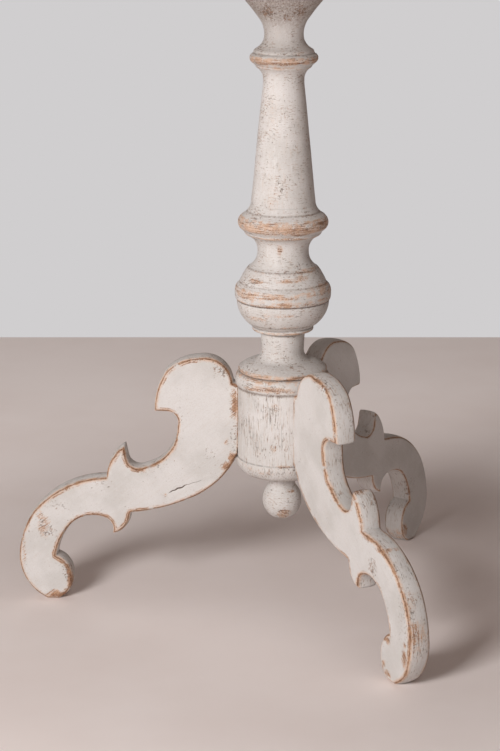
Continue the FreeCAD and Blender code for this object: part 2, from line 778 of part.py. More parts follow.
def make_strike_plate(screws):
    """The slotted plate let into the block's back face, which the bolt enters."""
    low = "Dims.top_underside - Dims.strike_height"
    plate = box(
        "strike_blank",
        ("-Dims.strike_half_width", "Dims.block_half_depth - Dims.strike_thickness", low),
        ("Dims.strike_half_width", "Dims.block_half_depth", "Dims.top_underside"))
    slot = box(
        "strike_slot",
        ("-Dims.bolt_half_width - Dims.strike_slot_gap",
         "Dims.block_half_depth - Dims.strike_thickness - 1",
         "Dims.bolt_top - Dims.bolt_thickness - Dims.strike_slot_gap"),
        ("Dims.bolt_half_width + Dims.strike_slot_gap",
         "Dims.block_half_depth + 1",
         "Dims.bolt_top + Dims.strike_slot_gap"))
    slotted = combine("Part::Cut", "strike_slotted", plate, slot)
    return keep(combine("Part::Cut", "strike_drilled", slotted, screws), "strike_plate")


# ---------------------------------------------------------------- assembly and files

def make_table():
    """Makes every sub-part in its place."""
    make_column()
    make_tenon_wedge()
    legs = [make_leg(label) for label in ("leg_back", "leg_left", "leg_right")]
    make_hub(legs)
    make_finial()
    batten_screws = make_batten_screws()
    latch_screws = make_latch_screws()
    strike_screws = make_strike_screws()
    pins = [make_pivot_pin("pivot_pin_left", -1), make_pivot_pin("pivot_pin_right", 1)]
    make_pivot_block(pins, strike_screws)
    make_batten("batten_left", -1, batten_screws)
    make_batten("batten_right", 1, batten_screws)
    make_top_boards(batten_screws, latch_screws)
    make_latch_plate(latch_screws)
    make_latch_case(latch_screws)
    make_latch_bolt()
    make_latch_knob()
    make_latch_spring()
    make_strike_plate(strike_screws)


def check_document():
    """Stops if any object failed or any sub-part is not a valid solid."""
    for item in doc.Objects:
        if "Invalid" in item.State or "Error" in item.State:
            raise RuntimeError("%s did not recompute: %s" % (item.Name, item.State))
    for part in sub_parts:
        shape = part.Shape
        if shape.isNull() or not shape.isValid() or not shape.Solids:
            raise RuntimeError("%s is not a valid solid" % part.Label)


def write_files():
    """Writes one STEP file for each sub-part."""
    os.makedirs("parts", exist_ok=True)
    for part in sub_parts:
        part.Shape.exportStep("parts/%s.step" % part.Label)
        print("%-18s %2d solid(s) %12.1f mm3" % (
            part.Label, len(part.Shape.Solids), part.Shape.Volume))


make_table()
doc.recompute()
check_document()
write_files()
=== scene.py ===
"""A painted tilt top table: worn, chalky off-white paint over wood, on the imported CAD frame.

Lengths are in metres. The wooden pieces and the screws are rebuilt as fine meshes from the CAD
nodes' own outlines, so that their arrises, rings and grooves can carry wear.
"""

import json
import math

import bmesh
import bpy
import numpy as np
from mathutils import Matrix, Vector, geometry, noise


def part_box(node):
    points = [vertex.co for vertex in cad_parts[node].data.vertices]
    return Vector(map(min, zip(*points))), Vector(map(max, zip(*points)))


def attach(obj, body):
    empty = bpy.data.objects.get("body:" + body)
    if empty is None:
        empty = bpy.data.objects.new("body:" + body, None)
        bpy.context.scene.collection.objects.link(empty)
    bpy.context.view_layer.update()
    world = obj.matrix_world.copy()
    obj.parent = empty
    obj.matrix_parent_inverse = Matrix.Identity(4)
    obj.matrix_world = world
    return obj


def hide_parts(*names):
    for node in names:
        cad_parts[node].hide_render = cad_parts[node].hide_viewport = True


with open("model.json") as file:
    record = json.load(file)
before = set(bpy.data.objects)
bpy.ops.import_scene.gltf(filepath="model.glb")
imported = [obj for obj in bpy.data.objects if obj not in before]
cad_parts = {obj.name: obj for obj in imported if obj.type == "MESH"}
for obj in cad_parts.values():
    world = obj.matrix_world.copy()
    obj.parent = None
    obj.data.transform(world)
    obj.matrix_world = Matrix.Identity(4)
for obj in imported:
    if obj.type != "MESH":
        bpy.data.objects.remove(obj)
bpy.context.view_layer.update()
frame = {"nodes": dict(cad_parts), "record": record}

MM = 0.001


# ---- outlines read from the frame

def welded(node):
    """The node's corner points and triangles, with points that share a place made one."""
    mesh = bmesh.new()
    mesh.from_mesh(frame["nodes"][node].data)
    bmesh.ops.remove_doubles(mesh, verts=mesh.verts, dist=0.002 * MM)
    mesh.verts.ensure_lookup_table()
    return mesh


def chained(edges):
    """Orders edges, given as pairs of point numbers, into the longest run they make."""
    beside = {}
    for a, b in edges:
        beside.setdefault(a, []).append(b)
        beside.setdefault(b, []).append(a)
    left = set(beside)
    best = []
    while left:
        ends = [p for p in left if len(beside[p]) == 1]
        here = min(ends) if ends else min(left)
        run = [here]
        left.discard(here)
        while True:
            ahead = [p for p in beside[here] if p in left]
            if not ahead:
                break
            here = ahead[0]
            run.append(here)
            left.discard(here)
        if len(run) > len(best):
            best = run
    return best


def meridian(node):
    """The profile of a turned node as (radius, height) points, from its seam."""
    mesh = welded(node)
    on_seam = {v.index for v in mesh.verts if abs(v.co.y) < 1e-6 and v.co.x > -1e-6}
    pairs = [tuple(vert.index for vert in edge.verts) for edge in mesh.edges]
    edges = [pair for pair in pairs if on_seam.issuperset(pair)]
    points = [(mesh.verts[i].co.x, mesh.verts[i].co.z) for i in chained(edges)]
    mesh.free()
    if points[0][1] > points[-1][1]:
        points.reverse()
    return np.array(points)


def face_loop(node, flat, level, to_plane):
    """The closed outline of a node's flat face: flat(co) is level there, to_plane(co) is 2-D."""
    mesh = welded(node)
    on_face = {v.index for v in mesh.verts if abs(flat(v.co) - level) < 0.005 * MM}
    uses = {}
    for face in mesh.faces:
        if all(v.index in on_face for v in face.verts):
            for edge in face.edges:
                pair = tuple(vert.index for vert in edge.verts)
                uses[pair] = uses.get(pair, 0) + 1
    rim = [pair for pair, count in uses.items() if count == 1]
    loop = np.array([to_plane(mesh.verts[i].co) for i in chained(rim)])
    mesh.free()
    area = np.sum(loop[:, 0] * np.roll(loop[:, 1], -1) - loop[:, 1] * np.roll(loop[:, 0], -1))
    return loop if area > 0 else loop[::-1]


def smooth_run(points, step):
    """Points every step along a Catmull-Rom curve through an open run."""
    if len(points) < 3:
        count = max(int(np.hypot(*(points[-1] - points[0])) / step), 1)
        return points[0] + (points[-1] - points[0]) * np.linspace(0, 1, count + 1)[:, None]
    before = 2 * points[0] - points[1]
    after = 2 * points[-1] - points[-2]
    padded = np.vstack([before, points, after])
    dense = []
    for a, b, c, d in zip(padded, padded[1:], padded[2:], padded[3:]):
        t = np.linspace(0, 1, 17)[:-1, None]
        dense.append(0.5 * (
            2 * b + (c - a) * t + (2 * a - 5 * b + 4 * c - d) * t ** 2
            + (3 * b - a - 3 * c + d) * t ** 3))
    dense = np.vstack(dense + [points[-1:]])
    along = np.concatenate([[0], np.cumsum(np.hypot(*np.diff(dense, axis=0).T))])
    count = max(int(along[-1] / step), 1)
    wanted = np.linspace(0, along[-1], count + 1)
    return np.stack([np.interp(wanted, along, dense[:, k]) for k in (0, 1)], axis=1)


def turn_angles(points, closed):
    """How far the line turns at each point, in degrees."""
    before = points - np.roll(points, 1, axis=0)
    after = np.roll(points, -1, axis=0) - points
    cross = before[:, 0] * after[:, 1] - before[:, 1] * after[:, 0]
    dot = np.sum(before * after, axis=1)
    turn = np.degrees(np.arctan2(cross, dot))
    if not closed:
        turn[0] = turn[-1] = 180
    return turn


def resampled(points, step, closed, corner=24):
    """The line with points about every step, smooth between its corners."""
    corners = [i for i, turn in enumerate(turn_angles(points, closed)) if abs(turn) > corner]
    if closed:
        points = np.roll(points, -corners[0], axis=0)
        corners = [i - corners[0] for i in corners] + [len(points)]
        points = np.vstack([points, points[:1]])
    runs = [smooth_run(points[a:b + 1], step) for a, b in zip(corners, corners[1:])]
    return np.vstack([run[:-1] for run in runs] + ([] if closed else [points[-1:]]))


# ---- mesh making

NO_ARRIS = 99.0

# hand-made unevenness: (size, height, seed step), in mm
TURNED_LUMPS = [(45, 0.35, 0), (9, 0.12, 5)]
LEG_LUMPS = [(30, 0.25, 0), (90, 0.3, 3)]
BOARD_LUMPS = [(70, 0.25, 0)]
SAWN_LUMPS = [(40, 0.2, 0)]


def added(name, data):
    """A new object in the scene."""
    thing = bpy.data.objects.new(name, data)
    bpy.context.scene.collection.objects.link(thing)
    return thing


def new_piece(node, made, verts, faces, attributes, body, slot="painted_wood"):
    """Makes a mesh piece with point attributes, and rides it in place of a CAD node."""
    name = f"{node}_{made}"
    mesh = bpy.data.meshes.new(name)
    mesh.from_pydata([tuple(v) for v in verts], [], faces)
    for key, values in attributes.items():
        values = np.asarray(values, np.float32)
        if values.ndim == 1:
            mesh.attributes.new(key, "FLOAT", "POINT").data.foreach_set("value", values)
        else:
            layer = mesh.attributes.new(key, "FLOAT_VECTOR", "POINT")
            layer.data.foreach_set("vector", values.ravel())
    cleaned = bmesh.new()
    cleaned.from_mesh(mesh)
    bmesh.ops.remove_doubles(cleaned, verts=cleaned.verts, dist=0.004 * MM)
    bmesh.ops.dissolve_degenerate(cleaned, edges=cleaned.edges, dist=0.002 * MM)
    bmesh.ops.recalc_face_normals(cleaned, faces=cleaned.faces)
    cleaned.to_mesh(mesh)
    cleaned.free()
    mesh.polygons.foreach_set("use_smooth", [True] * len(mesh.polygons))
    mesh.materials.append(FINISHES[slot])
    piece = added(name, mesh)
    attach(piece, body)
    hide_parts(node)


def paint_marks(count, **given):
    """The point attributes that the paint reads: plain values, or the given ones."""
    marks = {
        "arris": np.full(count, NO_ARRIS),
        "ridge": np.zeros(count),
        "swell": np.zeros(count),
        "turned": np.zeros(count),
        "hoop": np.zeros(count),
        "wall": np.zeros(count),
        "along": np.zeros((count, 3)),
        "scuff": np.zeros(count),
        "pitted": np.zeros(count),
        "grime": np.zeros(count),
    }
    marks.update(given)
    return marks


def wander(points, scale, seed):
    """Smooth noise in -1..1 at each point; scale is the size of its lumps."""
    offset = Vector((seed * 3.7, seed * 1.3, seed * 2.1))
    return np.array([noise.noise(Vector(p) / scale + offset) for p in points])


def uneven(points, lumps, seed):
    """Hand-made unevenness at each point; lumps are (size, height, seed step), in mm."""
    return sum(wander(points, size * MM, seed + step) * height * MM
               for size, height, step in lumps)


def soft_step(values, low, high):
    """0 below low, 1 above high, and smooth between; low may be the larger."""
    t = np.clip((values - low) / (high - low), 0, 1)
    return t * t * (3 - 2 * t)


def spots(points, places):
    """Soft spots on a surface: each place is (across, up, half width, half height, strength)."""
    total = np.zeros(len(points))
    for across, up, half_width, half_height, strength in places:
        away = ((points[:, 0] - across) / half_width) ** 2
        away += ((points[:, 1] - up) / half_height) ** 2
        total = np.maximum(total, strength * np.exp(-away ** 2))
    return total


def profile_marks(profile, reach):
    """Signed roundness of a profile at each point: positive on ridges, negative in grooves."""
    steps = np.hypot(*np.diff(profile, axis=0).T)
    along = np.concatenate([[0], np.cumsum(steps)])
    marks = np.zeros(len(profile))
    tangent = np.gradient(profile, axis=0)
    tangent /= np.maximum(np.hypot(*tangent.T), 1e-12)[:, None]
    outward = np.stack([tangent[:, 1], -tangent[:, 0]], axis=1)
    for side in (-reach, reach):
        moved = np.stack(
            [np.interp(along + side, along, profile[:, k]) for k in (0, 1)], axis=1)
        marks += np.sum((profile - moved) * outward, axis=1) / reach
    return marks / 2


def lathed(profile, segments, seed):
    """Points and faces of a solid turned from a profile, slightly uneven as hand work is."""
    angles = np.arange(segments) * 2 * math.pi / segments
    x = profile[:, 0][:, None] * np.cos(angles)[None, :]
    y = profile[:, 0][:, None] * np.sin(angles)[None, :]
    z = np.repeat(profile[:, 1][:, None], segments, axis=1)
    verts = np.stack([x, y, z], axis=-1).reshape(-1, 3)
    lumps = uneven(verts, TURNED_LUMPS, seed)
    radius = np.maximum(np.hypot(verts[:, 0], verts[:, 1]), 1e-9)
    grow = 1 + np.where(radius > 4 * MM, lumps / radius, 0)
    verts[:, :2] *= grow[:, None]
    rows = np.arange(len(profile) - 1)[:, None] * segments
    here = np.arange(segments)[None, :]
    after = (here + 1) % segments
    quads = np.stack([rows + here, rows + after, rows + segments + after, rows + segments + here],
                     axis=-1)
    faces = [tuple(quad) for quad in quads.reshape(-1, 4).tolist()]
    faces.append(tuple(range(segments - 1, -1, -1)))
    faces.append(tuple((len(profile) - 1) * segments + j for j in range(segments)))
    return verts, faces


def nearest_on_loop(points, loop):
    """The distance from each point to a closed loop, and the loop's length up to there."""
    runs = np.roll(loop, -1, axis=0) - loop
    lengths = np.maximum(np.hypot(*runs.T), 1e-12)
    before = np.concatenate([[0], np.cumsum(lengths)[:-1]])
    gaps = np.empty(len(points))
    along = np.empty(len(points))
    for start in range(0, len(points), 800):
        part = slice(start, start + 800)
        offset = points[part][:, None, :] - loop[None, :, :]
        t = np.clip(np.sum(offset * runs[None], axis=2) / lengths[None] ** 2, 0, 1)
        away = np.sum((offset - t[..., None] * runs[None]) ** 2, axis=2)
        best = np.argmin(away, axis=1)
        pick = np.arange(len(best))
        gaps[part] = np.sqrt(away[pick, best])
        along[part] = before[best] + t[pick, best] * lengths[best]
    return gaps, along


def within_loop(points, loop):
    """Whether each point is inside a closed loop."""
    inside = np.zeros(len(points), bool)
    nexts = np.roll(loop, -1, axis=0)
    for (x0, y0), (x1, y1) in zip(loop, nexts):
        crosses = (y0 > points[:, 1]) != (y1 > points[:, 1])
        at = x0 + (points[:, 1] - y0) * (x1 - x0) / (y1 - y0 + 1e-30)
        inside ^= crosses & (points[:, 0] < at)
    return inside


def staggered_grid(low, high, step):
    """Points about every step over a rectangle, each row moved by half a step."""
    xs = np.arange(low[0], high[0], step)
    ys = np.arange(low[1], high[1], step)
    grid = np.stack(np.meshgrid(xs, ys), axis=-1)
    grid[1::2, :, 0] += step / 2
    return grid.reshape(-1, 2)


def face_points(loop, rings, step):
    """Points inside a loop: rows that follow it at the given distances, then an even grid."""
    inward = -rim_normals(loop)
    kept = []
    for order, ring in enumerate(rings):
        row = (loop + inward * ring)[::1 if order < 5 else 2]
        gap, _ = nearest_on_loop(row, loop)
        kept.append(row[(np.abs(gap - ring) < 0.12 * ring) & within_loop(row, loop)])
    grid = staggered_grid(loop.min(axis=0), loop.max(axis=0), step)
    grid = grid[within_loop(grid, loop)]
    kept.append(grid[nearest_on_loop(grid, loop)[0] > rings[-1] + step * 0.5])
    return np.vstack(kept)


def filled(loop, inner):
    """Flat points and triangles over a closed outline and the points inside it."""
    points = np.vstack([loop, inner])
    edges = [(i, (i + 1) % len(loop)) for i in range(len(loop))]
    result = geometry.delaunay_2d_cdt([Vector(p) for p in points], edges, [], 1, 1e-7)
    return np.array([tuple(p) for p in result[0]]), [tuple(face) for face in result[2]]


def sandwich(flat, triangles, top, bottom, rows, crown=0.0):
    """Closes two heights over the same flat triangles with rows of wall, a little crowned."""
    count = len(flat)
    rim = rim_of(triangles)
    outward = rim_normals(flat[rim])
    verts = [np.column_stack([flat, top]), np.column_stack([flat, bottom])]
    faces = triangles + [tuple(count + i for i in reversed(face)) for face in triangles]
    strips = [list(rim)]
    for row in range(1, rows):
        share = row / rows
        level = top[rim] + (bottom[rim] - top[rim]) * share
        bulge = crown * 4 * share * (1 - share)
        verts.append(np.column_stack([flat[rim] + outward * bulge, level]))
        first = 2 * count + (row - 1) * len(rim)
        strips.append(list(range(first, first + len(rim))))
    strips.append([count + i for i in rim])
    for upper, lower in zip(strips, strips[1:]):
        for i in range(len(rim)):
            j = (i + 1) % len(rim)
            faces.append((upper[i], lower[i], lower[j], upper[j]))
    source = np.concatenate([np.arange(count), np.arange(count)] + [rim] * (rows - 1))
    return np.vstack(verts), faces, source.astype(int)


def rim_of(triangles):
    """The outer loop of a triangulated flat, in order, as the triangles turn."""
    edges = {}
    for a, b, c in triangles:
        for edge in ((a, b), (b, c), (c, a)):
            edges[edge] = edges.get(edge, 0) + 1
    ahead = {a: b for (a, b) in edges if (b, a) not in edges}
    here = min(ahead)
    loop = [here]
    while ahead[loop[-1]] != here:
        loop.append(ahead[loop[-1]])
    return loop


def rim_normals(points):
    """Outward directions of an anticlockwise loop."""
    tangent = np.roll(points, -1, axis=0) - np.roll(points, 1, axis=0)
    tangent /= np.maximum(np.hypot(*tangent.T), 1e-12)[:, None]
    return np.stack([tangent[:, 1], -tangent[:, 0]], axis=1)


# ---- material helpers

class Nodes:
    """A small helper that adds shader nodes to a material and joins them."""

    def __init__(self, name):
        self.material = bpy.data.materials.new(name)
        self.material.use_nodes = True
        self.tree = self.material.node_tree
        self.shader = self.tree.nodes["Principled BSDF"]

    def add(self, kind, **settings):
        node = self.tree.nodes.new(kind)
        for key, value in settings.items():
            setattr(node, key, value)
        return node

    def join(self, out, into):
        self.tree.links.new(out, into)

    def put(self, value, socket):
        if isinstance(value, bpy.types.NodeSocket):
            self.join(value, socket)
        else:
            socket.default_value = value

    def attribute(self, name, vector=False):
        node = self.add("ShaderNodeAttribute", attribute_name=name)
        return node.outputs["Vector" if vector else "Fac"]

    def math(self, operation, a, b=0.0):
        node = self.add("ShaderNodeMath", operation=operation)
        self.put(a, node.inputs[0])
        self.put(b, node.inputs[1])
        return node.outputs[0]

    def times(self, a, b):
        return self.math("MULTIPLY", a, b)

    def plus(self, a, b):
        return self.math("ADD", a, b)

    def minus(self, a, b):
        return self.math("SUBTRACT", a, b)

    def most(self, a, b):
        return self.math("MAXIMUM", a, b)

    def stretched(self, vector, scale, shift):
        node = self.add("ShaderNodeMapping")
        self.join(vector, node.inputs["Vector"])
        node.inputs["Scale"].default_value = scale
        node.inputs["Location"].default_value = shift
        return node.outputs[0]

    def noise(self, vector, scale, detail, rough, shift=(0, 0, 0)):
        """Noise on a place; three scales stretch it, and a shift moves it."""
        if isinstance(scale, tuple):
            vector = self.stretched(vector, scale, shift)
            scale = 1.0
        node = self.add("ShaderNodeTexNoise")
        self.join(vector, node.inputs["Vector"])
        for key, value in (("Scale", scale), ("Detail", detail), ("Roughness", rough)):
            node.inputs[key].default_value = value
        return node.outputs["Fac"]

    def between(self, value, low, high, out_low=0.0, out_high=1.0):
        node = self.add("ShaderNodeMapRange", interpolation_type="SMOOTHSTEP")
        self.put(value, node.inputs["Value"])
        for key, number in (("From Min", low), ("From Max", high),
                            ("To Min", out_low), ("To Max", out_high)):
            self.put(number, node.inputs[key])
        return node.outputs[0]

    def blend(self, factor, a, b):
        node = self.add("ShaderNodeMix", data_type="FLOAT")
        self.put(factor, node.inputs[0])
        self.put(a, node.inputs[2])
        self.put(b, node.inputs[3])
        return node.outputs[0]

    def mix(self, factor, a, b):
        node = self.add("ShaderNodeMix", data_type="RGBA")
        self.put(factor, node.inputs[0])
        self.put(a if isinstance(a, bpy.types.NodeSocket) else rgb(a), node.inputs[6])
        self.put(b if isinstance(b, bpy.types.NodeSocket) else rgb(b), node.inputs[7])
        return node.outputs[2]

    def bump(self, height, distance, strength):
        node = self.add("ShaderNodeBump")
        self.join(height, node.inputs["Height"])
        node.inputs["Distance"].default_value = distance
        node.inputs["Strength"].default_value = strength
        self.join(node.outputs[0], self.shader.inputs["Normal"])


def rgb(colour):
    """An sRGB colour, 0 to 255, as linear RGBA."""
    linear = []
    for part in colour:
        part = part / 255
        linear.append(part / 12.92 if part <= 0.04045 else ((part + 0.055) / 1.055) ** 2.4)
    return (*linear, 1.0)


PAINT_LIGHT = (217, 214, 212)
PAINT_GREY = (205, 202, 199)
PAINT_WARM = (210, 198, 188)
PAINT_CHALK = (226, 224, 222)
PAINT_THIN = (190, 178, 168)
STAIN = (211, 180, 157)
WOOD_PALE = (194, 154, 122)
WOOD_TAN = (164, 117, 85)
WOOD_BROWN = (98, 67, 48)
GRIME = (70, 55, 44)
# colour of the dark film: dirt, and painted shade under the capital and at the finial's neck
GRIME_FILM_AND_SHADE = (116, 93, 76)
FLECK_DARK = (96, 78, 65)
FLECK_PALE = (160, 120, 92)
PLAIN_WOOD_DARK = (112, 72, 44)
PLAIN_WOOD_PALE = (176, 122, 78)


def worn_paint():
    """Chalky paint, rubbed through to brown wood on arrises, turned ridges and scuffs.

    It reads the point attributes of paint_marks, and wood (place in mm, third part along the
    grain). arris is the distance in mm from the worn arris line, below 0 on its wall side; wall
    is 1 on a plank's narrow sides, where along is (across, along) in mm; hoop is 1 where marks
    run round the piece. Each noise has its scale per mm, its detail and its roughness, and the
    numbers in between are levels of the noise, 0 to 1.
    """
    n = Nodes("worn_paint")
    place = n.attribute("wood", vector=True)
    along = n.attribute("along", vector=True)
    arris, ridge, swell, turned, hoop, wall, scuff, pitted, grime = [
        n.attribute(key) for key in (
            "arris", "ridge", "swell", "turned", "hoop", "wall", "scuff", "pitted", "grime")]

    fine = n.noise(place, 0.85, 4, 0.62)
    medium = n.noise(place, 0.17, 4, 0.6)
    broad = n.noise(place, 0.028, 3, 0.5)
    broken = n.noise(place, (0.1, 0.1, 0.1), 4, 0.7, (31, 7, 3))
    cluster = n.noise(place, 0.04, 3, 0.6)
    around = n.noise(place, (0.055, 0.055, 0.62), 4, 0.62)
    with_grain = n.noise(place, (0.55, 0.55, 0.035), 4, 0.62)
    on_wall = n.noise(along, (0.6, 0.03, 1), 4, 0.62)
    streak = n.blend(wall, with_grain, on_wall)
    not_flat = n.most(turned, wall)

    # bare wood
    grain = n.noise(place, (1.2, 1.2, 0.06), 4, 0.6, (5, 2, 9))
    wood = n.mix(n.between(grain, 0.36, 0.6), WOOD_BROWN, WOOD_TAN)
    wood = n.mix(n.between(medium, 0.4, 0.66, 0.0, 0.75), wood, WOOD_PALE)
    wood = n.mix(n.between(fine, 0.5, 0.36, 0.0, 0.7), wood, WOOD_BROWN)
    strokes = n.noise(place, (0.03, 0.03, 1.3), 4, 0.6, (4, 4, 8))
    dark_stroke = n.times(n.between(strokes, 0.52, 0.62, 0.0, 0.9), turned)
    wood = n.mix(dark_stroke, wood, WOOD_BROWN)
    pale_stroke = n.times(n.between(strokes, 0.48, 0.4, 0.0, 0.85), turned)
    wood = n.mix(pale_stroke, wood, PAINT_WARM)

    # paint, brushed on and rubbed thin
    brushed = n.between(not_flat, 0, 1, 0.2, 0.5)
    paint = n.mix(n.between(broad, 0.35, 0.65), PAINT_GREY, PAINT_LIGHT)
    paint = n.mix(n.times(n.between(streak, 0.52, 0.7), brushed), paint, PAINT_CHALK)
    paint = n.mix(n.times(n.between(streak, 0.47, 0.3), brushed), paint, PAINT_WARM)
    thin = n.times(n.between(fine, 0.47, 0.3), n.between(not_flat, 0, 1, 0.34, 0.32))
    paint = n.mix(thin, paint, PAINT_THIN)
    paint = n.mix(n.between(medium, 0.52, 0.75, 0.0, 0.3), paint, PAINT_CHALK)
    dust = n.noise(place, (1.9, 1.9, 0.9), 3, 0.6, (9, 1, 4))
    paint = n.mix(n.between(dust, 0.52, 0.66, 0.0, 0.34), paint, PAINT_THIN)

    # worn line along each arris: it wanders, changes width and breaks off
    drift = n.noise(place, 0.022, 2, 0.5)
    gap = n.minus(arris, n.between(drift, 0.3, 0.7, -1.4, 1.4))
    gap = n.plus(gap, n.between(fine, 0.3, 0.7, -0.6, 0.6))
    gap = n.math("ABSOLUTE", gap)
    width = n.between(medium, 0.3, 0.7, 0.35, 1.9)
    width = n.plus(width, n.between(cluster, 0.5, 0.7, 0.0, 1.5))
    line = n.between(n.minus(gap, width), 0.7, -0.6)
    line = n.times(line, n.between(broken, 0.29, 0.41))
    second = n.math("ABSOLUTE", n.minus(arris, n.between(medium, 0.3, 0.7, 3.2, 4.6)))
    second = n.times(n.between(second, 0.9, 0.2), n.between(drift, 0.5, 0.58))
    second = n.times(second, n.between(broken, 0.44, 0.5))
    core = n.times(n.between(gap, 1.0, 0.2), n.between(broken, 0.48, 0.58))
    halo = n.times(n.between(gap, 5.2, 1.2, 0.0, 0.9), n.between(broken, 0.3, 0.52))

    # rubbed ridges of the turned rings, in strokes round the piece
    ring = n.times(n.between(swell, 0.08, 0.3), turned)
    proud = n.times(n.between(ridge, 0.04, 0.24), turned)
    rubbed = n.most(ring, n.times(proud, 0.7))
    rub_at = n.blend(0.35, around, fine)
    rub = n.plus(rub_at, n.times(rubbed, 0.065))
    rub = n.times(n.between(rub, 0.565, 0.64), n.between(rubbed, 0.1, 0.4))
    peach = n.plus(n.blend(0.3, medium, around), n.times(rubbed, 0.13))
    peach = n.times(n.between(peach, 0.5, 0.68, 0.0, 0.85), n.between(rubbed, 0.05, 0.4))

    # scuffs at listed places
    scuff_at = n.blend(0.55, n.blend(hoop, streak, around), fine)
    bare = n.plus(scuff_at, n.times(scuff, 0.13))
    bare = n.times(n.between(bare, 0.565, 0.62), n.between(scuff, 0.04, 0.25))
    bare = n.most(bare, n.between(scuff, 1.2, 1.5))
    smear = n.plus(n.blend(0.4, scuff_at, medium), n.times(scuff, 0.17))
    smear = n.times(n.between(smear, 0.5, 0.66, 0.0, 0.8), n.between(scuff, 0.02, 0.3))

    # short marks: round the column, down the hub and along narrow sides
    hoops = n.noise(place, (0.26, 0.26, 1.0), 4, 0.6, (2, 4, 6))
    upright = n.noise(place, (1.0, 1.0, 0.1), 4, 0.6, (2, 4, 6))
    sideways = n.noise(along, (0.9, 0.12, 1), 4, 0.6)
    marks = n.blend(wall, n.blend(hoop, upright, hoops), sideways)
    marks = n.plus(marks, n.times(n.minus(cluster, 0.5), 0.35))
    dashes = n.times(n.between(marks, 0.59, 0.66), n.times(not_flat, 0.62))
    crazing = n.times(n.between(marks, 0.5, 0.62), n.times(not_flat, 0.3))

    # small specks
    flecks = n.noise(place, (0.5, 0.5, 0.34), 4, 0.68, (3, 8, 5))
    fleck_at = n.between(cluster, 0.3, 0.72, 0.715, 0.625)
    fleck_at = n.minus(fleck_at, n.times(not_flat, 0.024))
    near = n.times(n.between(n.math("ABSOLUTE", arris), 14.0, 2.0), 0.045)
    fleck_at = n.minus(fleck_at, near)
    fleck_at = n.minus(fleck_at, n.times(grime, 0.05))
    fleck_at = n.minus(fleck_at, n.times(pitted, 0.12))
    speck = n.between(n.minus(flecks, fleck_at), 0.0, 0.03)

    # cracks down the grain of the hub
    crack_at = n.noise(place, (0.42, 0.42, 0.016), 3, 0.55, (7, 3, 1))
    crack = n.between(n.math("ABSOLUTE", n.minus(crack_at, 0.5)), 0.01, 0.002)
    crack = n.times(crack, n.between(cluster, 0.46, 0.6))
    crack = n.times(crack, n.minus(turned, hoop))

    stained = n.most(n.most(halo, peach), smear)
    paint = n.mix(crazing, paint, PAINT_THIN)
    paint = n.mix(stained, paint, STAIN)
    worn = n.most(n.most(line, second), n.most(rub, bare))
    worn = n.times(worn, n.between(fine, 0.62, 0.42, 0.7, 1.0))
    colour = n.mix(worn, paint, wood)
    colour = n.mix(n.times(core, 0.7), colour, WOOD_BROWN)
    fleck_colour = n.mix(n.between(medium, 0.42, 0.58), FLECK_DARK, FLECK_PALE)
    colour = n.mix(n.most(n.times(speck, 0.75), dashes), colour, fleck_colour)

    # dirt in grooves and cracks, and a dark film where it has been placed: dirt, painted shade
    # under the capital and at the finial's neck, and the hub's darker bottom
    groove = n.times(n.between(ridge, -0.09, -0.3), n.between(broken, 0.34, 0.5, 0.3, 1.0))
    dirt = n.most(n.times(groove, 0.42), n.times(crack, 0.6))
    dirt = n.most(dirt, n.between(grime, 1.0, 2.0, 0.0, 0.95))
    # painted shade: this film also darkens the capital's underside and the finial's neck
    film_and_shade = n.times(grime, n.between(n.blend(0.4, streak, fine), 0.72, 0.26))
    colour = n.mix(n.times(film_and_shade, 0.8), colour, GRIME_FILM_AND_SHADE)
    colour = n.mix(dirt, colour, GRIME)

    n.join(colour, n.shader.inputs["Base Color"])
    n.join(n.between(medium, 0.3, 0.7, 0.6, 0.76), n.shader.inputs["Roughness"])
    n.shader.inputs["Specular IOR Level"].default_value = 0.22

    height = n.times(fine, 0.16)
    height = n.plus(height, n.times(medium, 0.28))
    height = n.plus(height, n.times(n.times(streak, brushed), 0.6))
    height = n.minus(height, n.times(worn, 0.3))
    height = n.minus(height, n.times(speck, 0.25))
    height = n.minus(height, n.times(crack, 0.5))
    n.bump(height, 0.7 * MM, 0.7)
    return n.material


def bare_wood():
    """Dry bare wood, for the wedge."""
    n = Nodes("bare_wood")
    place = n.add("ShaderNodeTexCoord").outputs["Object"]
    grain = n.noise(place, (900, 900, 60), 4, 0.6)
    n.join(n.mix(n.between(grain, 0.35, 0.65), PLAIN_WOOD_DARK, PLAIN_WOOD_PALE),
           n.shader.inputs["Base Color"])
    n.shader.inputs["Roughness"].default_value = 0.7
    n.bump(grain, 0.2 * MM, 0.5)
    return n.material


def metal(name, dark, light, rough, metallic):
    """Aged metal with mottled colour and roughness."""
    n = Nodes(name)
    place = n.add("ShaderNodeTexCoord").outputs["Object"]
    blotch = n.noise(place, 70, 5, 0.6)
    scratch = n.noise(place, (2500, 300, 2500), 3, 0.6)
    n.join(n.mix(n.between(blotch, 0.25, 0.75), dark, light), n.shader.inputs["Base Color"])
    n.join(n.between(blotch, 0.3, 0.7, rough + 0.15, rough - 0.05), n.shader.inputs["Roughness"])
    n.shader.inputs["Metallic"].default_value = metallic
    n.bump(scratch, 0.05 * MM, 0.4)
    return n.material


# by the record's material slots
FINISHES = {
    "painted_wood": worn_paint(),
    "bare_wood": bare_wood(),
    "iron": metal("old_iron", (38, 34, 31), (84, 74, 66), 0.5, 0.75),
    "brass": metal("old_brass", (112, 86, 48), (176, 146, 88), 0.4, 0.9),
}


# ---- turned pieces

FRONT = -55.83
BLOCK_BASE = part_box("pivot_block")[0].z
PROFILE_STEP = 0.8 * MM
WEDGE_PROUD = 0.4 * MM
COLLAR_BASE = (240, 242)

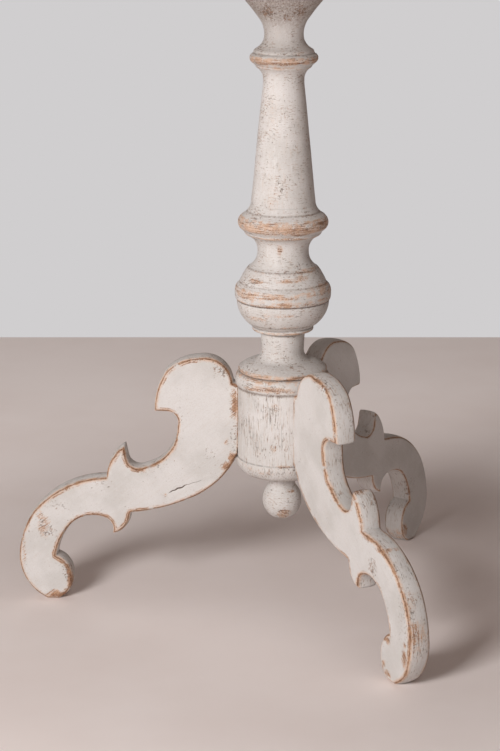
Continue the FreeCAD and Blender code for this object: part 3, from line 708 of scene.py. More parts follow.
# rubbed and speckled places as (degrees right of the front, height, half width, half height,
# strength), in degrees and mm
COLUMN_SCUFFS = [
    (-8, 391, 6, 6, 0.9), (-44, 359, 14, 2.2, 0.7), (5, 361, 18, 2.2, 0.7), (28, 363, 12, 3, 0.5),
    (3, 338, 9, 4, 0.8), (-52, 345, 30, 5, 0.75), (-12, 345, 30, 2.4, 0.8), (24, 337, 22, 3, 0.4),
    (-20, 336, 26, 1.6, 0.7), (-6, 326, 26, 2, 0.4), (-42, 320, 20, 3, 0.35), (60, 352, 30, 3, 0.5),
    (8, 311, 14, 1.8, 0.5), (-10, 303, 30, 1.8, 0.4), (50, 369, 30, 2, 0.5),
    (-44, 582, 24, 4, 0.9), (-6, 581, 30, 3, 0.85), (30, 583, 26, 3, 0.6), (-20, 577, 50, 2, 0.4),
    (-30, 418, 34, 3, 0.6), (-20, 412, 24, 4, 0.8), (22, 413, 22, 5, 1.0), (58, 417, 24, 5, 0.7),
    (-4, 404, 30, 2, 0.6), (-22, 446, 18, 16, 0.15), (-30, 530, 12, 20, 0.15),
    (120, 345, 40, 3, 0.8), (200, 343, 44, 4, 0.7), (250, 360, 20, 3, 0.6), (170, 390, 10, 7, 0.7),
    (140, 414, 40, 4, 0.8), (230, 413, 44, 4, 0.7), (150, 582, 40, 3, 0.8), (220, 581, 50, 3, 0.8),
]
# dirty lines round the column: (height, half width, strength), in mm
SCORED_LINES = [
    (334.3, 1.2, 1.5), (427, 1.1, 1.15), (368, 1.0, 1.05), (353, 0.9, 0.85), (310, 1.0, 1.0),
]
COLUMN_PITS = [
    (28, 367, 8, 9, 0.8), (34, 376, 5, 6, 0.6), (-36, 440, 20, 14, 0.3), (-10, 470, 22, 30, 0.3),
    (-30, 500, 16, 30, 0.35), (22, 500, 14, 26, 0.4), (-6, 540, 20, 20, 0.3),
    (-33, 631, 16, 5, 0.9),
    (6, 628, 12, 5, 0.8), (26, 634, 16, 5, 0.7), (0, 590, 30, 3, 0.5), (22, 596, 5, 4, 0.7),
    (10, 300, 20, 3, 0.5), (160, 480, 40, 60, 0.35), (240, 520, 30, 40, 0.35),
]
HUB_SCUFFS = [
    (-14, 247.5, 30, 3.6, 0.75), (-46, 247, 12, 3, 0.5), (-10, 229, 5, 4, 0.5),
    (-12, 185, 5, 4, 0.55),
    (0, 165, 9, 1.6, 0.8), (-21, 157, 12, 2.4, 0.35), (-40, 160, 14, 3, 0.3),
    (90, 249, 26, 3, 0.7), (205, 248, 26, 3, 0.7), (85, 205, 6, 5, 0.5), (210, 190, 7, 6, 0.5),
    (100, 160, 30, 3, 0.6), (210, 161, 30, 3, 0.6),
]
HUB_PITS = [
    (-10, 229, 9, 8, 0.3), (-12, 185, 9, 8, 0.5), (10, 190, 12, 12, 0.5), (-30, 176, 12, 12, 0.5),
    (14, 162, 8, 8, 0.8), (-34, 255, 20, 4, 0.4), (100, 200, 20, 30, 0.4), (220, 200, 20, 30, 0.4),
]
FINIAL_SCUFFS = [(6, 103, 24, 6, 0.8), (30, 128, 20, 2, 0.4), (150, 112, 30, 6, 0.5)]
FINIAL_PITS = [(0, 102, 30, 9, 1.2), (30, 117, 16, 8, 0.5), (170, 105, 40, 10, 0.6)]


def softened(profile, rounds):
    """Rounds a dense profile's corners a little, leaving its ends."""
    profile = profile.copy()
    for _ in range(rounds):
        profile[1:-1] = profile[1:-1] * 0.5 + (profile[:-2] + profile[2:]) * 0.25
    return profile


def from_front(verts):
    """Each point as (degrees right of the front, height in mm)."""
    angle = np.degrees(np.arctan2(verts[:, 1], verts[:, 0])) - FRONT
    return np.column_stack([(angle + 90) % 360 - 90, verts[:, 2] / MM])


def turned_piece(name, segments, seed, hoop, scuffs, pits, grime_at, rub_at):
    """A turned piece from its CAD profile, painted and worn, and darkened by dirt and painted
    shade.

    hoop is 1 if its short marks go round it, and 0 if they run down it up to its collar.
    """
    dense = softened(resampled(meridian(name), PROFILE_STEP, closed=False), 2)
    dense[:, 0] = np.maximum(dense[:, 0], 0.02 * MM)
    dense[:, 1] = np.minimum(dense[:, 1], dense[:, 1].max() - WEDGE_PROUD)
    verts, faces = lathed(dense, segments, seed)
    heights = verts[:, 2] / MM
    ridge, swell = [
        np.repeat(np.clip(profile_marks(dense, reach * MM), -1, 1), segments) for reach in (1.6, 6)]
    rub = rub_at(heights)
    attributes = paint_marks(
        len(verts),
        ridge=np.where(ridge > 0, ridge * rub, ridge),
        swell=swell * rub,
        turned=np.ones(len(verts)),
        hoop=np.maximum(hoop, soft_step(heights, *COLLAR_BASE)),
        wood=verts / MM + seed * 100,
        scuff=spots(from_front(verts), scuffs),
        pitted=spots(from_front(verts), pits),
        grime=grime_at(heights),
    )
    in_the_block = heights > BLOCK_BASE / MM + 1
    attributes["scuff"][in_the_block] = 2
    new_piece(name, "turning", verts, faces, attributes, "base")


def column_grime(heights):
    """Hand dirt and painted shade under the capital; hand dirt a little above the flange and in the
    scored lines.
    """
    # painted shade under the capital, where the block and top above shade it, mixed with dirt
    grime = soft_step(heights, 610, 634)
    grime = np.maximum(grime, soft_step(heights, 292, 262) * 0.18)
    for line, half_width, strength in SCORED_LINES:
        near = soft_step(np.abs(heights - line), half_width, 0.3)
        grime = np.maximum(grime, near * strength)
    return grime


def column_rub(heights):
    """How much the ridges are rubbed: less on the flange and at the two small beads."""
    low = np.interp(heights, [275, 290, 299, 301, 309, 312], [0.4, 1, 1, 0.6, 0.6, 1])
    return np.where(heights > 586.5, 0.5, low)


def even_rub(heights):
    """Ridges of the hub and the finial, rubbed only a little."""
    return np.full(len(heights), 0.5)


def hub_grime(heights):
    """A dirty joint under the flange and under the collar, and the hub darker towards its bottom.
    """
    under_flange = soft_step(heights, 254.5, 257) * 0.8
    under_collar = soft_step(np.abs(heights - 241.5), 2.5, 0.5) * 1.3
    # the hub is also made darker towards its bottom, below 151 mm
    return np.maximum(under_flange, under_collar) + soft_step(heights, 151, 147) * 0.5


def finial_grime(heights):
    """Painted shade: a darker neck where the pendant meets the hub, under the hub."""
    # painted shade at the finial's neck, under the hub
    return soft_step(heights, 132, 142) * 0.8


def make_turnings():
    """The column, hub and finial."""
    turned_piece("column", 144, 1, 1, COLUMN_SCUFFS, COLUMN_PITS, column_grime, column_rub)
    turned_piece("hub", 160, 2, 0, HUB_SCUFFS, HUB_PITS, hub_grime, even_rub)
    turned_piece("finial", 112, 3, 1, FINIAL_SCUFFS, FINIAL_PITS, finial_grime, even_rub)


# ---- legs

LEG_EASE = 2.6 * MM
LEG_INNER_END = 44.5 * MM
LEG_CROWN = 1.0 * MM
LEG_GRAIN = math.radians(-38)
LEG_STEP = 1.3 * MM
LEG_GRID = 4 * MM
LEG_ROWS = [LEG_EASE * share for share in (0.15, 0.35, 0.6, 0.85, 1.0, 1.25, 1.7, 2.4)]
LEG_WALL_ROWS = 14

# For each leg: the side seen first, how sharp its arris wear is, and its scuffed and speckled
# places as (out from the axis, height, half width, half height, strength), in mm
LEG_WEAR = {
    "leg_left": (1, 1.0, [
        (49.5, 222, 2.8, 16, 1.25), (53, 164, 4, 5, 1.1), (58, 153, 5, 5, 1.0),
        (58, 182, 1.8, 2.6, 1.0), (58, 193, 1.2, 1.6, 0.6), (255, 83, 7, 13, 0.5),
        (259, 96, 5, 5, 0.35), (126, 120, 1.6, 1.6, 1.0), (228, 22, 2.8, 11, 1.35),
        (240, 5, 14, 3, 1.35), (262, 4, 8, 2, 0.8), (277, 60, 2, 24, 0.35),
        (264, 105, 6, 6, 0.3), (213, 24, 3, 12, 0.7), (216, 12, 5, 5, 0.6),
    ], [
        (66, 257, 10, 8, 1.2), (252, 80, 11, 14, 1.0), (240, 106, 14, 7, 0.8), (76, 168, 9, 9, 1.0),
        (50, 180, 6, 40, 0.5), (232, 30, 5, 10, 0.9), (251, 26, 0.9, 0.9, 2.2),
        (186, 128, 16, 8, 0.5),
    ]),
    "leg_right": (-1, 1.0, [
        (201, 134, 9, 1.9, 1.0), (222, 128.8, 8, 1.9, 0.9), (241, 42, 5, 2.6, 1.1),
        (234, 15, 3, 4, 0.9), (243, 8, 6, 3, 1.15), (281, 58, 4, 20, 0.5), (272, 34, 4, 10, 0.9),
        (270, 92, 7, 16, 0.25), (272.6, 46, 1.6, 8, 1.0), (282, 62, 1.4, 14, 0.8),
        (167, 172, 5, 4, 0.8), (170, 164, 3, 6, 0.6),
    ], [
        (210, 110, 9, 10, 1.5), (165, 160, 14, 8, 0.6), (268, 80, 10, 40, 0.5),
        (100, 270, 20, 10, 0.5), (60, 190, 8, 20, 0.3),
    ]),
    "leg_back": (-1, 2.0, [
        (60, 200, 5, 16, 0.6), (232, 14, 6, 10, 0.7),
    ], [
        (90, 230, 20, 20, 0.4), (240, 60, 16, 20, 0.4), (150, 130, 30, 10, 0.4),
    ]),
}
# dirt where the left leg meets the hub, as the places above
JOINT_DIRT = [(46.2, 170, 1.4, 5, 2), (47.2, 163, 1.6, 3.5, 2)]
# a crack in the left leg's front face: points as (out from the axis, height), in mm
CRACKED_LEG = "leg_left"
CRACK = [
    (119.5, 122.6), (116.2, 125), (113.4, 125.8), (110.4, 127.9), (106, 129), (102.6, 131.5),
    (98, 132.8), (94.8, 134.4), (91, 135.2), (86, 137),
]
CRACK_DEPTH = 0.9 * MM
CRACK_HALF = 0.42 * MM
CRACK_CLEAR = 1.9 * MM
CRACK_SIDES = (-1.3, -0.75, -0.35, 0.35, 0.75, 1.3)


def leg_directions(name):
    """The ways out along a plank leg and across its thickness, from its broadest face."""
    broad = {}
    for face in frame["nodes"][name].data.polygons:
        facing = tuple(round(part, 2) for part in face.normal)
        broad[facing] = broad.get(facing, Vector()) + face.normal * face.area
    across = max(broad.values(), key=lambda vector: vector.length)
    outward = Vector((across.y, -across.x, 0)).normalized()
    middle = sum(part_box(name), Vector())
    if outward.dot(middle) < 0:
        outward.negate()
    return outward, Vector((-outward.y, outward.x, 0))


def crack_rows():
    """Points along the crack and to each side of it, for the mesh to follow."""
    spine = smooth_run(np.array(CRACK) * MM, 0.6 * MM)
    normal = rim_normals(spine)
    normal[0], normal[-1] = normal[1], normal[-2]
    return spine, np.vstack([spine] + [spine + normal * side * MM for side in CRACK_SIDES])


def gaps_to(points, line):
    """The distance from each point to each point of a line."""
    return np.hypot(*(points[:, None] - line[None]).transpose(2, 0, 1))


def make_leg(name, seed):
    """One scrolled plank leg from its CAD face, with eased arrises and crowned sides."""
    outward, across = leg_directions(name)
    half = max(abs(v.co.dot(across)) for v in frame["nodes"][name].data.vertices)
    loop = face_loop(
        name, lambda co: co.dot(across), half, lambda co: (co.dot(outward), co.z))
    loop[:, 0] = np.where(loop[:, 0] < LEG_INNER_END + 3 * MM, LEG_INNER_END, loop[:, 0])
    loop = resampled(loop, LEG_STEP, closed=True)
    inner = face_points(loop, LEG_ROWS, LEG_GRID)
    side, sharpness, scuffs, pits = LEG_WEAR[name]
    cracked = name == CRACKED_LEG
    if cracked:
        spine, beside = crack_rows()
        inner = np.vstack([inner[gaps_to(inner, spine).min(axis=1) > CRACK_CLEAR], beside])
    flat, triangles = filled(loop, inner)
    gap, along = nearest_on_loop(flat, loop)
    gap[gap < 1e-7] = 0
    height = half - LEG_EASE * (1 - np.clip(gap / LEG_EASE, 0, 1)) ** 1.5
    verts, faces, source = sandwich(
        flat, triangles, height, -height, LEG_WALL_ROWS, LEG_CROWN)
    from_edge = gap[source]
    from_edge[2 * len(flat):] = 0
    from_face = half - np.abs(verts[:, 2])
    verts[:, 2] += np.sign(verts[:, 2]) * uneven(verts, LEG_LUMPS, seed)
    grime = np.zeros(len(verts))
    if cracked:
        away = gaps_to(verts[:, :2], spine)
        share = np.argmin(away, axis=1) / len(spine)
        reach = CRACK_HALF * (0.35 + 0.9 * np.exp(-((share - 0.27) / 0.22) ** 2))
        cut = soft_step(away.min(axis=1) / reach, 1.9, 0.9) * (verts[:, 2] > half * 0.5)
        verts[:, 2] -= cut * CRACK_DEPTH
        grime = np.maximum(cut * 2, spots(verts[:, :2] / MM, JOINT_DIRT))
    u = verts[:, 0] * math.cos(LEG_GRAIN) + verts[:, 1] * math.sin(LEG_GRAIN)
    v = -verts[:, 0] * math.sin(LEG_GRAIN) + verts[:, 1] * math.cos(LEG_GRAIN)
    on_side = verts[:, 2] * side > 0
    attributes = paint_marks(
        len(verts),
        arris=(from_edge - from_face) / MM * sharpness,
        wall=np.clip(1 - from_edge / (0.5 * LEG_EASE), 0, 1),
        along=np.column_stack([verts[:, 2], along[source], np.zeros(len(verts))]) / MM,
        wood=np.column_stack([v, verts[:, 2], u]) / MM + seed * 100,
        scuff=spots(verts[:, :2] / MM, scuffs) * np.where(on_side, 1, 0.5),
        pitted=spots(verts[:, :2] / MM, pits) * np.where(on_side, 1, 0.6),
        grime=grime,
    )
    world = verts @ np.array([outward, (0, 0, 1), across])
    world[:, 2] = np.maximum(world[:, 2], 0)
    new_piece(name, "plank", world, faces, attributes, "base")


# ---- top

RIM_DEPTH = 9 * MM
SEAM_EASE = 0.9 * MM
BOARD_STEP = 3 * MM
BOARD_GRID = 9 * MM
GRID_INSET = 26 * MM
SEAM_ROWS = (0.3, 0.6, 0.9, 1.8, 4.5)
RIM_INSETS = (10.5, 13, 18)
BOARD_CUP = 0.35 * MM
BOARD_LIFT = 0.25 * MM

# rubbed and speckled places of the top as (across, away from the front, half width, half
# height, strength), in mm
TOP_SCUFFS = [
    (-60, -372, 90, 16, 0.8), (180, -330, 70, 14, 0.7), (-230, -300, 60, 14, 0.75),
    (330, -190, 40, 16, 0.7), (-350, -150, 36, 18, 0.7), (20, -205, 80, 7, 0.7),
    (-150, -193, 60, 6, 0.75), (210, -8, 90, 7, 0.75), (-120, 8, 110, 6, 0.75),
    (60, 205, 100, 7, 0.75), (-260, 196, 60, 6, 0.7), (90, -120, 60, 9, 0.5),
    (-90, 90, 70, 8, 0.5), (260, 110, 50, 10, 0.5), (-40, 372, 80, 14, 0.8),
    (200, 320, 60, 14, 0.7), (-240, 290, 60, 16, 0.7), (372, 60, 16, 50, 0.75),
    (-374, 70, 14, 60, 0.75), (-280, -40, 50, 8, 0.5),
]
TOP_PITS = [
    (-120, -260, 120, 50, 0.3), (160, -180, 90, 60, 0.3), (-200, 60, 110, 60, 0.3),
    (120, 80, 120, 70, 0.35), (40, 280, 160, 50, 0.3), (300, -60, 60, 90, 0.35),
    (-320, 120, 50, 90, 0.35),
]


def board_outline(radius, front, back):
    """The plan outline of a board cut from a disc between two seams, anticlockwise."""
    def spread(start, end, span, place):
        count = max(int(span / BOARD_STEP), 1)
        return [place(start + (end - start) * t / count) for t in range(count)]

    def seam(side, y):
        reach = math.sqrt(max(radius ** 2 - y ** 2, 0))
        if reach <= BOARD_STEP:
            return []
        return spread(-side * reach, side * reach, 2 * reach, lambda x: (x, y))

    def bend(start, end):
        return spread(start, end, abs(end - start) * radius,
                      lambda turn: (radius * math.cos(turn), radius * math.sin(turn)))

    low = math.asin(max(front / radius, -1))
    high = math.asin(min(back / radius, 1))
    return np.array(seam(1, front) + bend(low, high) + seam(-1, back)
                    + bend(math.pi - high, math.pi - low))


def circle(radius, turn):
    """Points round a circle, a turn apart in radians."""
    angles = np.arange(0, 2 * math.pi, turn)
    return np.column_stack([np.cos(angles), np.sin(angles)]) * radius


def board_points(radius, front, back, rim_rows):
    """Points inside a board's outline: rows by the seams and the rim, then an even grid."""
    rows = []
    for seam, inward in ((front, 1), (back, -1)):
        if abs(seam) < radius - 1 * MM:
            span = math.sqrt(radius ** 2 - seam ** 2) - 1.5 * MM
            xs = np.arange(-span, span, BOARD_STEP)
            for depth in SEAM_ROWS:
                rows.append(np.column_stack([xs, np.full(len(xs), seam + inward * depth * MM)]))
    rows += [circle(reach, BOARD_STEP / radius) for reach in rim_rows]
    rows += [circle(radius - inset * MM, 5 * MM / radius) for inset in RIM_INSETS]
    grid = staggered_grid(
        (-radius, front + BOARD_GRID), (radius, back - BOARD_GRID), BOARD_GRID)
    rows.append(grid[np.hypot(*grid.T) < radius - GRID_INSET])
    inner = np.vstack(rows)
    clear = 0.2 * MM
    return inner[(inner[:, 1] > front + clear) & (inner[:, 1] < back - clear)]


def make_board(name, radius, seed):
    """One board of the round top: eased at its seams, rounded at the rim, a little cupped."""
    low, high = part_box(name)
    front, back = max(low.y, -radius), min(high.y, radius)
    middle = (low.z + high.z) / 2
    half = (high.z - low.z) / 2
    bend = (half ** 2 + RIM_DEPTH ** 2) / (2 * RIM_DEPTH)
    centre = radius - bend
    rim_rows = [centre + bend * math.cos(turn)
                for turn in np.linspace(0, math.asin(half / bend), 8)[1:]]
    flat, triangles = filled(
        board_outline(radius, front, back), board_points(radius, front, back, rim_rows))

    radii = np.minimum(np.hypot(*flat.T), radius)
    to_rim = radius - radii
    past = np.clip(radii - centre, 0, bend)
    rise = np.where(to_rim < RIM_DEPTH, np.sqrt(np.maximum(bend ** 2 - past ** 2, 0)), half)
    to_front = np.where(front > -radius + 1 * MM, flat[:, 1] - front, 1.0)
    to_back = np.where(back < radius - 1 * MM, back - flat[:, 1], 1.0)
    to_seam = np.minimum(to_front, to_back)
    drop = SEAM_EASE * (1 - np.clip(to_seam / SEAM_EASE, 0, 1)) ** 1.5 * rise / half
    across = (flat[:, 1] - (front + back) / 2) / ((back - front) / 2)
    cup = (BOARD_CUP * (1 - across ** 2) + BOARD_LIFT * math.sin(seed * 2.3)) * rise / half
    waves = uneven(np.column_stack([flat, np.zeros(len(flat))]), BOARD_LUMPS, seed)
    top = middle + rise - drop + (cup + waves) * soft_step(to_rim, 0, 6 * MM)
    bottom = middle - rise + drop
    verts, faces, source = sandwich(flat, triangles, top, bottom, 5)
    on_wall = np.arange(len(verts)) >= 2 * len(flat)
    depth = np.where(on_wall, half - np.abs(verts[:, 2] - middle), 0)
    arris = np.minimum(to_seam[source] - 0.4 * MM, (to_rim[source] - 6.5 * MM) * 0.8)
    arris = np.where(on_wall, -depth, arris)
    around = np.arctan2(flat[:, 1], flat[:, 0])[source] * radius
    on_rim = soft_step(to_rim[source], 7 * MM, 3 * MM)
    shown = np.where(verts[:, 2] > middle, 1, 0.3)
    attributes = paint_marks(
        len(verts),
        arris=arris / MM,
        wall=on_rim,
        along=np.column_stack([verts[:, 2], around, np.zeros(len(verts))]) / MM,
        wood=verts[:, [1, 2, 0]] / MM + seed * 100,
        scuff=np.maximum(on_rim * 0.3, spots(verts[:, :2] / MM, TOP_SCUFFS) * shown),
        pitted=spots(verts[:, :2] / MM, TOP_PITS) * shown,
        grime=soft_step(to_seam[source], 1.2 * MM, 0.2 * MM) * 0.9,
    )
    new_piece(name, "planed", verts, faces, attributes, "top")


def make_boards():
    """The four boards of the top."""
    names = sorted(node for node in frame["nodes"] if node.startswith("top_board_"))
    radius = max(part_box(node)[1].x for node in names)
    for seed, name in enumerate(names, start=20):
        make_board(name, radius, seed)


# ---- block and battens

BLOCK_EASE = 1.8 * MM
BATTEN_EASE = 1.6 * MM
SAWN_SPACING = 7 * MM
SAWN_CORNER = math.radians(35)


def segment_distance(points, segments):
    """The distance from each point to the nearest of many straight segments."""
    best = np.full(len(points), np.inf)
    for start, end in segments:
        run = end - start
        t = np.clip((points - start) @ run / max(run @ run, 1e-18), 0, 1)
        best = np.minimum(best, np.linalg.norm(points - start - t[:, None] * run, axis=1))
    return best


def in_order(mesh):
    """The same mesh, with its points and faces in an order that is the same in every run."""
    ranked = sorted(mesh.verts, key=lambda vert: tuple(round(part / MM, 3) for part in vert.co))
    rank = {vert: number for number, vert in enumerate(ranked)}
    loops = []
    for face in mesh.faces:
        loop = [rank[vert] for vert in face.verts]
        first = loop.index(min(loop))
        loops.append(loop[first:] + loop[:first])
    plain = bpy.data.meshes.new("ordered")
    plain.from_pydata([tuple(vert.co) for vert in ranked], [], sorted(loops))
    mesh.free()
    ordered = bmesh.new()
    ordered.from_mesh(plain)
    bpy.data.meshes.remove(plain)
    return ordered


def sawn_piece(node, ease, seed, grain, body, leave=()):
    """A flat-sided CAD node with eased arrises and an even, fine mesh, painted and worn.

    grain orders the axes with the grain's own last; leave holds boxes whose edges stay sharp.
    """
    mesh = welded(node)
    bmesh.ops.dissolve_limit(
        mesh, angle_limit=math.radians(1), verts=mesh.verts, edges=mesh.edges)

    def left_sharp(edge):
        return any(
            all(low[k] - MM < vert.co[k] < high[k] + MM for vert in edge.verts for k in range(3))
            for low, high in leave)

    sharp = [
        edge for edge in mesh.edges
        if len(edge.link_faces) == 2 and edge.calc_face_angle(0) > SAWN_CORNER
        and edge.is_convex and not left_sharp(edge)
    ]
    segments = [tuple(np.array(vert.co) for vert in edge.verts) for edge in sharp]
    bmesh.ops.bevel(mesh, geom=sharp, offset=ease, offset_type="OFFSET", segments=3,
                    profile=0.5, affect="EDGES", clamp_overlap=True)
    mesh = in_order(mesh)
    bmesh.ops.triangulate(mesh, faces=mesh.faces)
    while wide := [edge for edge in mesh.edges if edge.calc_length() > SAWN_SPACING]:
        bmesh.ops.subdivide_edges(mesh, edges=wide, cuts=1)
        bmesh.ops.triangulate(mesh, faces=mesh.faces)
    mesh.verts.index_update()
    verts = np.array([vert.co for vert in mesh.verts])
    faces = [tuple(vert.index for vert in face.verts) for face in mesh.faces]
    mesh.free()
    gap = segment_distance(verts, segments)
    middle = (verts.min(axis=0) + verts.max(axis=0)) / 2
    away = verts - middle
    away /= np.maximum(np.linalg.norm(away, axis=1), 1e-9)[:, None]
    lumps = uneven(verts, SAWN_LUMPS, seed)
    attributes = paint_marks(
        len(verts),
        arris=(gap - 0.4 * ease) / MM,
        wood=verts[:, grain] / MM + seed * 100,
    )
    verts = verts + away * np.minimum(lumps, 0)[:, None]
    new_piece(node, "sawn", verts, faces, attributes, body)


def make_block_and_battens():
    """The pivot block and the two battens."""
    sawn_piece("pivot_block", BLOCK_EASE, 30, [1, 2, 0], "base", [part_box("strike_plate")])
    for seed, name in enumerate(("batten_left", "batten_right"), start=31):
        sawn_piece(name, BATTEN_EASE, seed, [0, 2, 1], "top")


# ---- screws and latch

# as shares of the head's radius
SLOT_WIDTH = 0.24
SLOT_DEPTH = 0.3
HEAD_DOME = 0.06
HEAD_ROWS = (0.97, 0.9, 0.75, 0.6)
HEAD_LENGTH = 0.68
SHANK = 0.5
HEAD_POINTS = 48


def slotted_screw(head_radius, shank_radius, head_length, length, turn):
    """A countersunk screw with a slotted, slightly domed head, pointing down -Z from 0."""
    angles = np.arange(HEAD_POINTS) * 2 * math.pi / HEAD_POINTS
    loop = np.column_stack([np.cos(angles), np.sin(angles)]) * head_radius
    slot = SLOT_WIDTH * head_radius
    rows = [loop * share for share in HEAD_ROWS]
    for reach in (shank_radius, shank_radius * 0.96):
        rows.append(loop / head_radius * reach)
    ys = np.linspace(-0.98, 0.98, 25) * head_radius
    for x in (-1.15, -1, 1, 1.15):
        kept = ys[np.hypot(ys, x * slot / 2) < head_radius * 0.985]
        rows.append(np.column_stack([np.full(len(kept), x * slot / 2), kept]))
    rows.append([(0, 0)])
    flat, triangles = filled(loop, np.vstack(rows))
    radii = np.hypot(*flat.T)
    top = HEAD_DOME * head_radius * (1 - (radii / head_radius) ** 2)
    top = top - np.where(np.abs(flat[:, 0]) < slot / 2 * 1.01, SLOT_DEPTH * head_radius, 0)
    cone = (head_radius - radii) / (head_radius - shank_radius) * head_length
    bottom = -np.where(radii > shank_radius * 0.98, np.maximum(cone, 0.04 * head_radius), length)
    verts, faces, _ = sandwich(flat, triangles, top, bottom, 1)
    spin = np.array([(math.cos(turn), math.sin(turn)), (-math.sin(turn), math.cos(turn))])
    verts[:, :2] = verts[:, :2] @ spin
    return verts, faces


def shells(node):
    """The lowest and highest corners of each separate solid in a node."""
    mesh = welded(node)
    left = set(mesh.verts)
    boxes = []
    while left:
        group = [left.pop()]
        for vert in group:
            for edge in vert.link_edges:
                other = edge.other_vert(vert)
                if other in left:
                    left.discard(other)
                    group.append(other)
        places = np.array([vert.co for vert in group])
        boxes.append((places.min(axis=0), places.max(axis=0)))
    mesh.free()
    return sorted(boxes, key=lambda box: tuple(box[0]))


def make_screws(node, head_side, axis, body, slot, seed):
    """Slotted screws in place of a node's plain ones; head_side is 0 for the low end."""
    verts, faces = [], []
    for number, (low, high) in enumerate(shells(node)):
        place = (low + high) / 2
        place[axis] = (low, high)[head_side][axis]
        others = [k for k in range(3) if k != axis]
        head = (high - low)[others[0]] / 2
        length = (high - low)[axis]
        points, shape = slotted_screw(
            head, head * SHANK, head * HEAD_LENGTH, length, seed + number * 1.9)
        outward = 1 if head_side else -1
        placed = np.empty_like(points)
        placed[:, others[0]] = points[:, 0] * outward
        placed[:, others[1]] = points[:, 1]
        placed[:, axis] = points[:, 2] * outward
        start = sum(len(part) for part in verts)
        verts.append(placed + place)
        faces += [tuple(start + i for i in face) for face in shape]
    new_piece(node, "slotted", np.vstack(verts), faces, {}, body, slot)


def make_fasteners():
    """The batten screws, the latch's screws and the strike plate's screws."""
    make_screws("batten_screws", 0, 2, "top", "iron", 0.4)
    make_screws("latch_screws", 0, 2, "top", "brass", 1.1)
    make_screws("strike_screws", 1, 1, "base", "brass", 0.9)


METAL_EASE = 0.35 * MM


def soften_metal():
    """Eases the edges of the latch's flat parts."""
    for node in ("latch_plate", "latch_case", "latch_bolt", "strike_plate"):
        eased = frame["nodes"][node].modifiers.new("eased", "BEVEL")
        eased.width = METAL_EASE
        eased.segments = 3
        eased.limit_method = "ANGLE"
        eased.harden_normals = True


# ---- stage, light and camera

VIEW_TURN = math.radians(34.17)
VIEW_DOWN = math.radians(15.2305)
LENS = 105.46
CAMERA_AWAY = 2228.9 * MM
CAMERA_ASIDE = 34.2 * MM
CAMERA_HEIGHT = 857.7 * MM
FLOOR_BEHIND = 1.154
FLOOR_REACH = 6
FLOOR_DROP = 0.5 * MM

FLOOR_DULL = (246, 235, 231)
FLOOR_PALE = (252, 243, 240)
WALL_COLOUR = (208, 206, 207)
ROOM_COLOUR = (226, 194, 176)
ROOM_STRENGTH = 0.11
LIGHT_COLOUR = (255, 253, 252)
LIT_POINT = (0, 0, 0.35)
# name, degrees right of the viewer, distance, height, size, power
SOFT_LIGHTS = [
    ("window", -32, 2.5, 1.26, 0.8, 55),
    ("front", 10, 2.6, 1.2, 1.8, 6.5),
    ("back", 200, 2.6, 1.5, 1.4, 7.5),
    ("overhead", 0, 0.02, 2.5, 1.0, 14),
]


def from_view(aside, away, height):
    """A point given as (right, away, up) from the viewer's side, in the row frame."""
    right = Vector((math.cos(VIEW_TURN), math.sin(VIEW_TURN), 0))
    ahead = Vector((-math.sin(VIEW_TURN), math.cos(VIEW_TURN), 0))
    return right * aside + ahead * away + Vector((0, 0, height))


def aim(thing, place, ahead):
    """Puts a camera or a light at a place, looking ahead."""
    thing.location = place
    thing.rotation_mode = "QUATERNION"
    thing.rotation_quaternion = ahead.to_track_quat("-Z", "Y")


def make_camera():
    """The camera, at the photo's angle and distance."""
    data = bpy.data.cameras.new("camera")
    data.lens = LENS
    data.sensor_width = 36
    data.clip_start = 0.05
    data.clip_end = 50
    camera = added("camera", data)
    aim(camera, from_view(-CAMERA_ASIDE, -CAMERA_AWAY, CAMERA_HEIGHT),
        from_view(0, math.cos(VIEW_DOWN), -math.sin(VIEW_DOWN)))
    bpy.context.scene.camera = camera


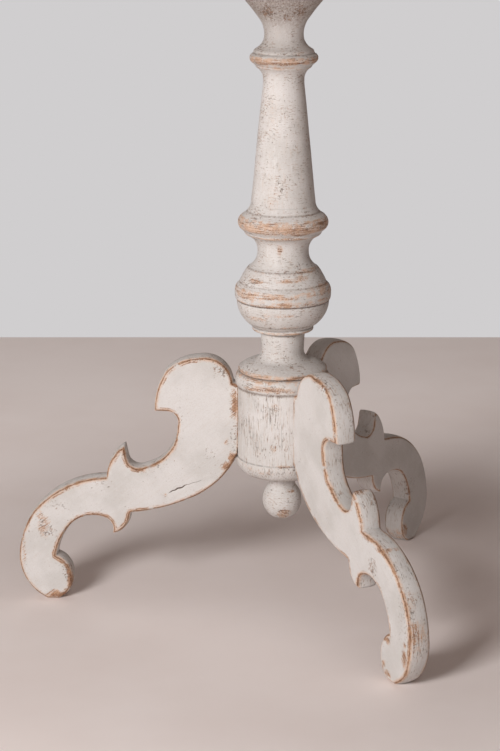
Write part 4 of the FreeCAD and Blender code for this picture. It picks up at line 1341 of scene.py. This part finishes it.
def make_floor():
    """A plain pale floor whose far edge meets the pale background."""
    corners = [from_view(aside, away, -FLOOR_DROP) for aside, away in (
        (-FLOOR_REACH, -FLOOR_REACH), (FLOOR_REACH, -FLOOR_REACH),
        (FLOOR_REACH, FLOOR_BEHIND), (-FLOOR_REACH, FLOOR_BEHIND))]
    mesh = bpy.data.meshes.new("floor")
    mesh.from_pydata([tuple(c) for c in corners], [], [(0, 1, 2, 3)])
    n = Nodes("pale_floor")
    place = n.add("ShaderNodeTexCoord").outputs["Object"]
    cloud = n.noise(place, 3.0, 4, 0.55)
    n.join(n.mix(n.between(cloud, 0.3, 0.7), FLOOR_DULL, FLOOR_PALE),
           n.shader.inputs["Base Color"])
    n.shader.inputs["Roughness"].default_value = 0.95
    n.shader.inputs["Specular IOR Level"].default_value = 0.05
    mesh.materials.append(n.material)
    floor = added("floor", mesh)


def make_world():
    """A pale wall that the camera sees, and a dim room that lights the table from all round."""
    world = bpy.data.worlds.new("room")
    world.use_nodes = True
    nodes = world.node_tree.nodes
    room = nodes["Background"]
    room.inputs["Color"].default_value = rgb(ROOM_COLOUR)
    room.inputs["Strength"].default_value = ROOM_STRENGTH
    wall = nodes.new("ShaderNodeBackground")
    wall.inputs["Color"].default_value = rgb(WALL_COLOUR)
    seen = nodes.new("ShaderNodeLightPath")
    either = nodes.new("ShaderNodeMixShader")
    for out, into in (
            (seen.outputs["Is Camera Ray"], either.inputs[0]),
            (room.outputs[0], either.inputs[1]),
            (wall.outputs[0], either.inputs[2]),
            (either.outputs[0], nodes["World Output"].inputs["Surface"])):
        world.node_tree.links.new(out, into)
    bpy.context.scene.world = world


def make_light():
    """A small bright window on the left, and broad faint lights in front, behind and above."""
    target = Vector(LIT_POINT)
    for name, turn, away, height, size, power in SOFT_LIGHTS:
        data = bpy.data.lights.new(name, "AREA")
        data.shape = "SQUARE"
        data.size = size
        data.energy = power
        data.color = rgb(LIGHT_COLOUR)[:3]
        angle = math.radians(turn)
        place = from_view(away * math.sin(angle), -away * math.cos(angle), height)
        aim(added(name, data), place, target - place)
    bpy.context.scene.view_settings.view_transform = "Standard"


# ---- the scene

def dress_nodes():
    """Gives each CAD node the material of its slot in the record."""
    for part in frame["record"]["subparts"]:
        materials = frame["nodes"][part["node"]].data.materials
        materials.clear()
        materials.append(FINISHES[part["material_slot"]])


def main():
    """Builds the whole scene."""
    make_camera()
    dress_nodes()
    make_turnings()
    for seed, name in enumerate(LEG_WEAR, start=10):
        make_leg(name, seed)
    make_boards()
    make_block_and_battens()
    make_fasteners()
    soften_metal()
    make_floor()
    make_world()
    make_light()


main()
